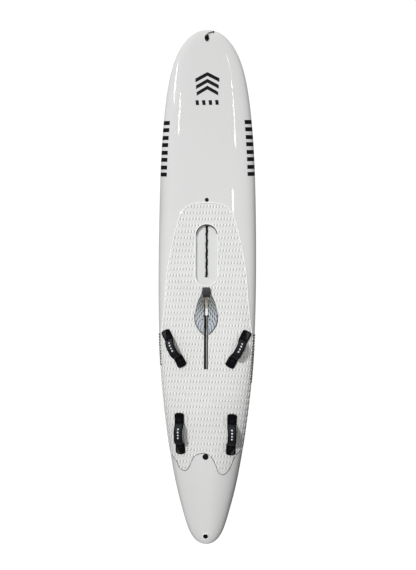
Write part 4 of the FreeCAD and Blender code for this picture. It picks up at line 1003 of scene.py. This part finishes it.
def dress_strap(name, row, line, tangent, across, length):
    """The satin panel over the crown, two rows of stitches and four studs."""
    def top(share, sideways, lift):
        crown = STRAP_HALF_THICK * (1 - abs(sideways / 0.0288) ** 3.2) ** 0.31
        return on_strap(line, tangent, across, share, sideways, crown + lift)

    rows, columns = 64, 24
    upper = np.zeros((rows + 1, columns + 1, 3))
    lower = upper.copy()
    for i in range(rows + 1):
        share = 0.235 + 0.55 * i / rows
        for j in range(columns + 1):
            sideways = PANEL_HALF * (2 * j / columns - 1)
            edge = min(i, rows - i, j * 2, (columns - j) * 2) / 3
            swell = 0.0010 * min(1.0, edge) + 0.0003 * math.cos(sideways / PANEL_HALF * 2.2 * math.pi)
            upper[i, j] = top(share, sideways, swell + 0.0003)
            lower[i, j] = top(share, sideways, -0.0016)
    panel = sheet_between(name + "_panel", upper, lower)
    finish(panel, f"panel_cloth_{row}")
    points, faces = [], []
    for sideways in (-STITCH_LINE, STITCH_LINE):
        for k in range(64):
            share = 0.10 + 0.80 * k / 63
            faces += block_faces(len(points))
            points += [top(share + 0.004 * a, sideways + 0.00035 * b, 0.00012 + 0.0005 * c)
                       for a, b, c in STITCH]
    stitches = mesh_object(name + "_stitches", points, faces, smooth=False)
    finish(stitches, "stitch_thread")
    points, faces = [], []
    for k in range(4):
        centre = 0.632 - k * STUD_PITCH / length
        faces += tube_faces(len(STUD_RINGS), STUD_STEPS, len(points))
        for lift, radius in STUD_RINGS:
            for turn in (2 * math.pi * step / STUD_STEPS for step in range(STUD_STEPS)):
                points.append(top(centre + radius * math.cos(turn) / length, radius * math.sin(turn), lift))
    studs = mesh_object(name + "_studs", points, faces, sharp=35)
    finish(studs, "print_white")


for strap_row in STRAP_SCREWS:
    for strap_side in (1, -1):
        make_strap(strap_row, strap_side)


# ---- daggerboard cover, lips and pedal

COVER_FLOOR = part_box("daggerboard_cover")[0].z
COVER_HEAD, COVER_SHANK = 0.0045, 0.0022
SLIVER_PITCH = 0.036
SLIVER_RUN = np.array([0, 0.012, 0.031, 0.016])
SLIVER_GRIPS = (.30, .47, .64, .81, .95), 0.016, 0.0075, 0.0050
# dark strokes beside the leaf's grips: painted shade
SLIVER_SHADE_STROKES = (.22, .385, .555, .725, .88), 0.004, 0.0068, 0.0042
SLIVER_ROOT = 0.0032


def cover_screw_places():
    low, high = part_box("daggerboard_cover_screws")
    inset = 0.004
    return [(x, y) for x in (low.x + inset, high.x - inset) for y in (low.y + inset, high.y - inset)]


def leaf_slivers(name, outline, shares, start, wide, high):
    """Closed slivers that run along the leaf in lines that follow its outline, clear of its screws."""
    points, faces = [], []
    screws = cover_screw_places()
    swell = np.array([0, wide / 2, 0, -wide / 2])
    for k, share in enumerate(shares):
        for side in (1, -1):
            first = outline[0, 0] + start + SLIVER_PITCH / 2 * (k % 2)
            for x in np.arange(first, outline[-1, 0] - 0.03, SLIVER_PITCH):
                run = x + SLIVER_RUN
                middle = run.mean()
                across = side * share * np.interp(middle, outline[:, 0], outline[:, 1])
                if any(abs(px - middle) < 0.017 and abs(py - across) < 0.008 for px, py in screws):
                    continue
                y = share * np.interp(run, outline[:, 0], outline[:, 1]) + swell
                faces += block_faces(len(points), side > 0)
                for height, shrink in ((SLIVER_ROOT, 1), (high, 0.7)):
                    points += [(middle + (a - middle) * shrink, side * (y.mean() + (b - y.mean()) * shrink),
                                COVER_FLOOR + height) for a, b in zip(run, y)]
    return mesh_object(name, points, faces, smooth=False)


def make_cover():
    """The glossy leaf over the front of the trunk, domed at its rim, with small grips of its own and dark
    strokes beside them that are painted shade.
    """
    every, rows, columns = 4, 160, 88
    floor = COVER_FLOOR
    outline = np.array(sorted((x, y) for x, y in leaf_outline() if y > 0))
    x = np.linspace(outline[0, 0] + 0.0002, outline[-1, 0] - 0.0002, rows + 1)
    half = np.interp(x, outline[:, 0], outline[:, 1])
    share = np.linspace(-1, 1, columns + 1)
    grid_x, grid_y = np.repeat(x[:, None], columns + 1, 1), half[:, None] * share[None, :]
    from_ends = np.minimum(x - x[0], x[-1] - x)[:, None] + 0.002
    rim = np.minimum(half[:, None] * (1 - np.abs(share))[None, :], from_ends)
    dome = 1 - np.clip(1 - rim / 0.007, 0, 1) ** 2.5
    plate = plate_between("leaf_cover", grid_x, grid_y, floor, floor + 0.0018 + 0.0018 * dome, every)
    raised = leaf_slivers("leaf_grips", outline, *SLIVER_GRIPS)
    shade_strokes = leaf_slivers("leaf_shade_strokes", outline, *SLIVER_SHADE_STROKES)
    for piece in (raised, shade_strokes):
        field_of_grips = prisms("leaf_inside", [leaf_outline(-0.005)], floor, floor + 0.03)
        boolean(piece, field_of_grips, "INTERSECT", sharp=30)
    slot = rectangle_outline(-0.3, case_high.x - 0.0034, -0.0136, 0.0136)
    heads, shanks = [[circle_outline(px, py, radius, steps) for px, py in cover_screw_places()]
                     for radius, steps in ((COVER_HEAD, 32), (COVER_SHANK, 24))]
    for piece in (plate, raised, shade_strokes):
        boolean(piece, prisms("leaf_slot", [slot], floor - 0.01, floor + 0.02))
        boolean(piece, prisms("leaf_screw_heads", heads, floor + 0.0024, floor + 0.02), sharp=30)
    boolean(plate, prisms("leaf_screw_holes", shanks, floor - 0.01, floor + 0.01))
    finish(plate, "cover_plastic")
    finish(raised, "cover_grips")
    finish(shade_strokes, "print_black")
    for side, name in ((1, "port"), (-1, "starboard")):
        run = sorted((px, py) for px, py in leaf_outline(0.0006) if px < -0.13 and py * side > 0)
        # dark beads along the leaf's aft edges: painted shadow
        bead(f"leaf_aft_shadow_{name}", run, 0.0024, "gasket_rubber", 0.0024)
    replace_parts(plate, "daggerboard_cover")


def make_head_shade_plates():
    """Two dark corner plates, painted shade, that leave the head's pale aft end round; that pale end is a
    painted highlight.
    """
    low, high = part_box("daggerboard_head")
    aft, half = low.x - 0.0004, high.y + 0.0004
    top = KEEL + 0.136
    reach = 1.5 * half
    turns = np.radians(np.linspace(90, 180, 12))
    port, starboard = [[(aft, side * half)] + [(aft + reach + reach * math.cos(t), side * half * math.sin(t))
                                               for t in turns] for side in (1, -1)]
    shade_plates = prisms("head_shade_plates", [port[::-1], starboard], top, top + 0.0008)
    finish(shade_plates, "print_black", body="daggerboard")


def make_lips():
    """The two soft lips over the mast track's slot, their edges a little wavy with use."""
    for name, side in (("mast_track_lip_left", 1), ("mast_track_lip_right", -1)):
        low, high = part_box(name)
        x = np.linspace(low.x, high.x, 161)
        share = (x - low.x) / (high.x - low.x)
        wave = 0.0011 * np.sin(share * 31 + side) + 0.0007 * np.sin(share * 67 + 2 * side)
        inner = 0.0078 + 1.2 * wave + 0.0020 * np.clip((share - 0.9) / 0.1, 0, 1)
        outer = max(abs(low.y), abs(high.y))
        across = np.linspace(0, 1, 9)
        grid_x, grid_y = across_grid(x, inner, outer, across)
        roll = np.minimum(1, (across * 9 + 0.35)) ** 0.5
        top = np.tile(low.z + (high.z - low.z) * roll, (len(x), 1))
        piece = plate_between(name + "_soft", grid_x, side * grid_y, low.z, top)
        finish(piece, "lip_rubber")
        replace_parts(piece, name)


def make_pedal():
    """The ribbed foot pedal ahead of the pivot, wider and higher in front."""
    low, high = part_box("daggerboard_pedal")
    rows, columns = 96, 40
    rib_count, rib_height, corner = 7, 0.0009, 0.008
    x = np.linspace(low.x + 0.0003, high.x - 0.0003, rows + 1)
    share = (x - low.x) / (high.x - low.x)
    from_ends = np.minimum(x - low.x, high.x - x)
    gap = np.minimum(from_ends, corner)
    half = high.y - 0.007 * (1 - share) - corner + np.sqrt(corner ** 2 - (corner - gap) ** 2)
    across = np.linspace(-1, 1, columns + 1)
    grid_x, grid_y = np.repeat(x[:, None], columns + 1, 1), half[:, None] * across[None, :]
    edge = np.minimum(half[:, None] * (1 - np.abs(across))[None, :], from_ends[:, None])
    rise = 0.009 + (high.z - low.z - 0.0100) * share
    round_off = 0.0025 * (1 - np.clip(edge / 0.0035, 0, 1)) ** 2
    waves = np.clip(1.6 * np.sin(share * rib_count * 2 * math.pi), -1, 1)[:, None]
    top = low.z + rise[:, None] - round_off + rib_height * waves * np.clip((edge - 0.003) / 0.002, 0, 1)
    piece = plate_between("pedal_ribbed", grid_x, grid_y, low.z, top)
    finish(piece, "pedal_plastic", body="daggerboard")
    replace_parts(piece, "daggerboard_pedal")


make_cover()
make_head_shade_plates()
make_lips()
make_pedal()


# ---- plain marks on the nose and the rails

MARK_LIFT = 0.0002
MARK_THICK = 0.00025


def inside(corners, steps):
    """A grid of flat points inside four corners."""
    a, b, c, d = [np.array(p, float) for p in corners]
    even = np.linspace(0, 1, steps + 1)
    s, t = [grid[..., None] for grid in np.meshgrid(even, even, indexing="ij")]
    return (a * (1 - s) + b * s) * (1 - t) + (d * (1 - s) + c * s) * t


def deck_patch(corners):
    """A grid on the deck inside four (x, y) corners."""
    flat = inside(corners, 8)
    return np.concatenate([flat, deck_height(flat[..., 0], flat[..., 1])[..., None]], -1)


def rail_patch(corners, side, steps=10):
    """A grid on one rail, inside four (x, degrees up from the rail line) corners."""
    flat = inside(corners, steps)
    points = hull_surface(flat[..., 0].ravel(), np.radians(flat[..., 1]).ravel()).reshape(*flat.shape[:2], 3)
    points[..., 1] *= side
    return points


def marks(name, patches, lift=MARK_LIFT):
    """Thin printed patches as one closed piece."""
    points, faces = [], []
    for patch in patches:
        rows, columns = patch.shape[:2]
        flat = patch.reshape(-1, 3)
        normals = hull_normals(flat)
        start = len(points)
        base = start + rows * columns
        points += [*map(tuple, flat + normals * (lift + MARK_THICK)), *map(tuple, flat + normals * lift)]
        faces += grid_faces(rows, columns, start) + grid_faces(rows, columns, base, flip=True)
        ring = rim_ring(rows, columns)
        for here, following in zip(ring, ring[1:] + ring[:1]):
            faces.append((start + following, start + here, base + here, base + following))
    piece = mesh_object(name, points, faces, sharp=60)
    finish(piece, "print_black")


def chevron(x, y, half_wide, depth, stroke):
    """Two arms that meet ahead at (x, y), as (x, y) corner sets."""
    tips = [y + side * half_wide for side in (1, -1)]
    return [[(x, y), (x - depth, tip), (x - depth - stroke, tip), (x - stroke, y)] for tip in tips]


def make_marks():
    """Plain chevrons and bars where the board carries its graphics."""
    nose = []
    for k in range(3):
        nose += chevron(1.478 - 0.043 * k, -0.003, 0.080 - 0.004 * k, 0.040, 0.024)
    front, aft, half, lean = 1.299, 1.268, 0.011, 0.004
    bars = [[(front, y + half), (front, y - half), (aft, y - lean - half), (aft, y - lean + half)]
            for y in (0.067, 0.023, -0.021, -0.065)]
    marks("nose_marks", [deck_patch(corners) for corners in nose + bars])
    for side, name, dash_count in ((1, "port", 12), (-1, "starboard", 18)):
        bars = [rail_patch([(x, 8), (x - 0.014, 46), (x - 0.041, 46), (x - 0.027, 8)], side)
                for pair in range(4) for x in (1.184 - 0.0985 * pair, 1.137 - 0.0985 * pair)]
        marks(f"rail_marks_{name}", bars)
        dashes = [rail_patch([(x, 8), (x - 0.003, 32), (x - 0.014, 32), (x - 0.011, 8)], side, 4)
                  for x in (-0.272 - 0.0187 * k for k in range(dash_count))]
        marks(f"rail_dashes_{name}", dashes, PAD_GAP + GRIP_RISE + 0.0002)


make_marks()

# ---- floor and light

LAMP_HEIGHT = 4.1
# name, aft end, front end, height, width, power and colour
LAMPS = (("softbox", (-4.8, 0.0), (2.2, 0.0), 4.8, 2.6, 46, (1, 1, 1)),
         ("port_strip", (2.0, 1.9), (3.1, 3.1), LAMP_HEIGHT, 0.07, 42, (.62, .80, 1)),
         ("port_thin_strip", (1.54, 0.87), (1.89, 0.90), LAMP_HEIGHT, 0.022, 5, (1, 1, 1)),
         ("port_short_strip", (.76, .65), (.83, .65), LAMP_HEIGHT, 0.022, 2.4, (1, 1, 1)),
         ("starboard_strip", (1.40, -.38), (2.20, -.44), LAMP_HEIGHT, 0.014, 5, (1, 1, 1)),
         ("starboard_short_strip", (.82, -.22), (1.00, -.22), LAMP_HEIGHT, 0.018, 2, (1, 1, 1)))
# name, side, distance out, lower and upper edge, aft and front end
FLAGS = (("starboard_flag", -1, 0.62, 0.30, 1.75, -2.3, -0.75),
         ("port_flag", 1, 1.00, 0.30, 1.30, -2.3, -0.95))
KEY_POWER, KEY_ANGLE, KEY_RAISED, KEY_TO_PORT = 2.3, math.radians(9), math.radians(55), math.radians(37)
ROOM_LIGHT = 0.32
FLOOR_GLOW = 1.05


def stage_panel(name, corners, material):
    panel = mesh_object(name, corners, [(0, 1, 2, 3)], smooth=False)
    panel.data.materials.append(material)
    return panel


def make_floor():
    """A plain white floor under the fin, which throws no light on the board."""
    white = bpy.data.materials.new("floor_white")
    white.use_nodes = True
    tree = white.node_tree
    glow = tree.nodes.new("ShaderNodeEmission")
    glow.inputs["Color"].default_value = (1, 1, 1, 1)
    glow.inputs["Strength"].default_value = FLOOR_GLOW
    tree.links.new(glow.outputs[0], tree.nodes["Material Output"].inputs["Surface"])
    floor = stage_panel("floor", [(-9, -9, 0), (9, -9, 0), (9, 9, 0), (-9, 9, 0)], white)
    floor.visible_diffuse = False
    floor.visible_glossy = False


def make_lights():
    """A soft box above, thin strips for highlights, dark flags beside the tail, a key and a bright room."""
    for name, aft_end, front_end, height, wide, power, color in LAMPS:
        data = bpy.data.lights.new(name, "AREA")
        data.shape = "RECTANGLE"
        run = Vector(front_end) - Vector(aft_end)
        data.size, data.size_y = run.length, wide
        data.energy = power
        data.color = color
        lamp = bpy.data.objects.new(name, data)
        centre = (Vector(front_end) + Vector(aft_end)) / 2
        lamp.location = (*centre, height)
        lamp.rotation_euler = (0, 0, math.atan2(run.y, run.x))
        lamp.visible_camera = False
        lamp.visible_diffuse = name == "softbox"
        lamp.visible_glossy = name != "softbox"
        scene.collection.objects.link(lamp)
    for name, side, out, low, high, aft, front in FLAGS:
        corners = [(x, side * (out + lean), z)
                   for x, lean, z in ((aft, 0, low), (front, 0.1, low), (front, 0.1, high), (aft, 0, high))]
        stage_panel(name, corners, finishes["gasket_rubber"]).visible_camera = False
    data = bpy.data.lights.new("key", "SUN")
    data.energy = KEY_POWER
    data.angle = KEY_ANGLE
    key = bpy.data.objects.new("key", data)
    level = math.cos(KEY_RAISED)
    towards = Vector((level * math.cos(KEY_TO_PORT), level * math.sin(KEY_TO_PORT), math.sin(KEY_RAISED)))
    key.rotation_euler = towards.to_track_quat("Z", "Y").to_euler()
    key.visible_glossy = False
    scene.collection.objects.link(key)
    world = bpy.data.worlds.new("studio")
    world.use_nodes = True
    background = world.node_tree.nodes["Background"]
    background.inputs["Color"].default_value = (1, 1, 1, 1)
    background.inputs["Strength"].default_value = ROOM_LIGHT
    scene.world = world


make_floor()
make_lights()

bpy.context.view_layer.update()
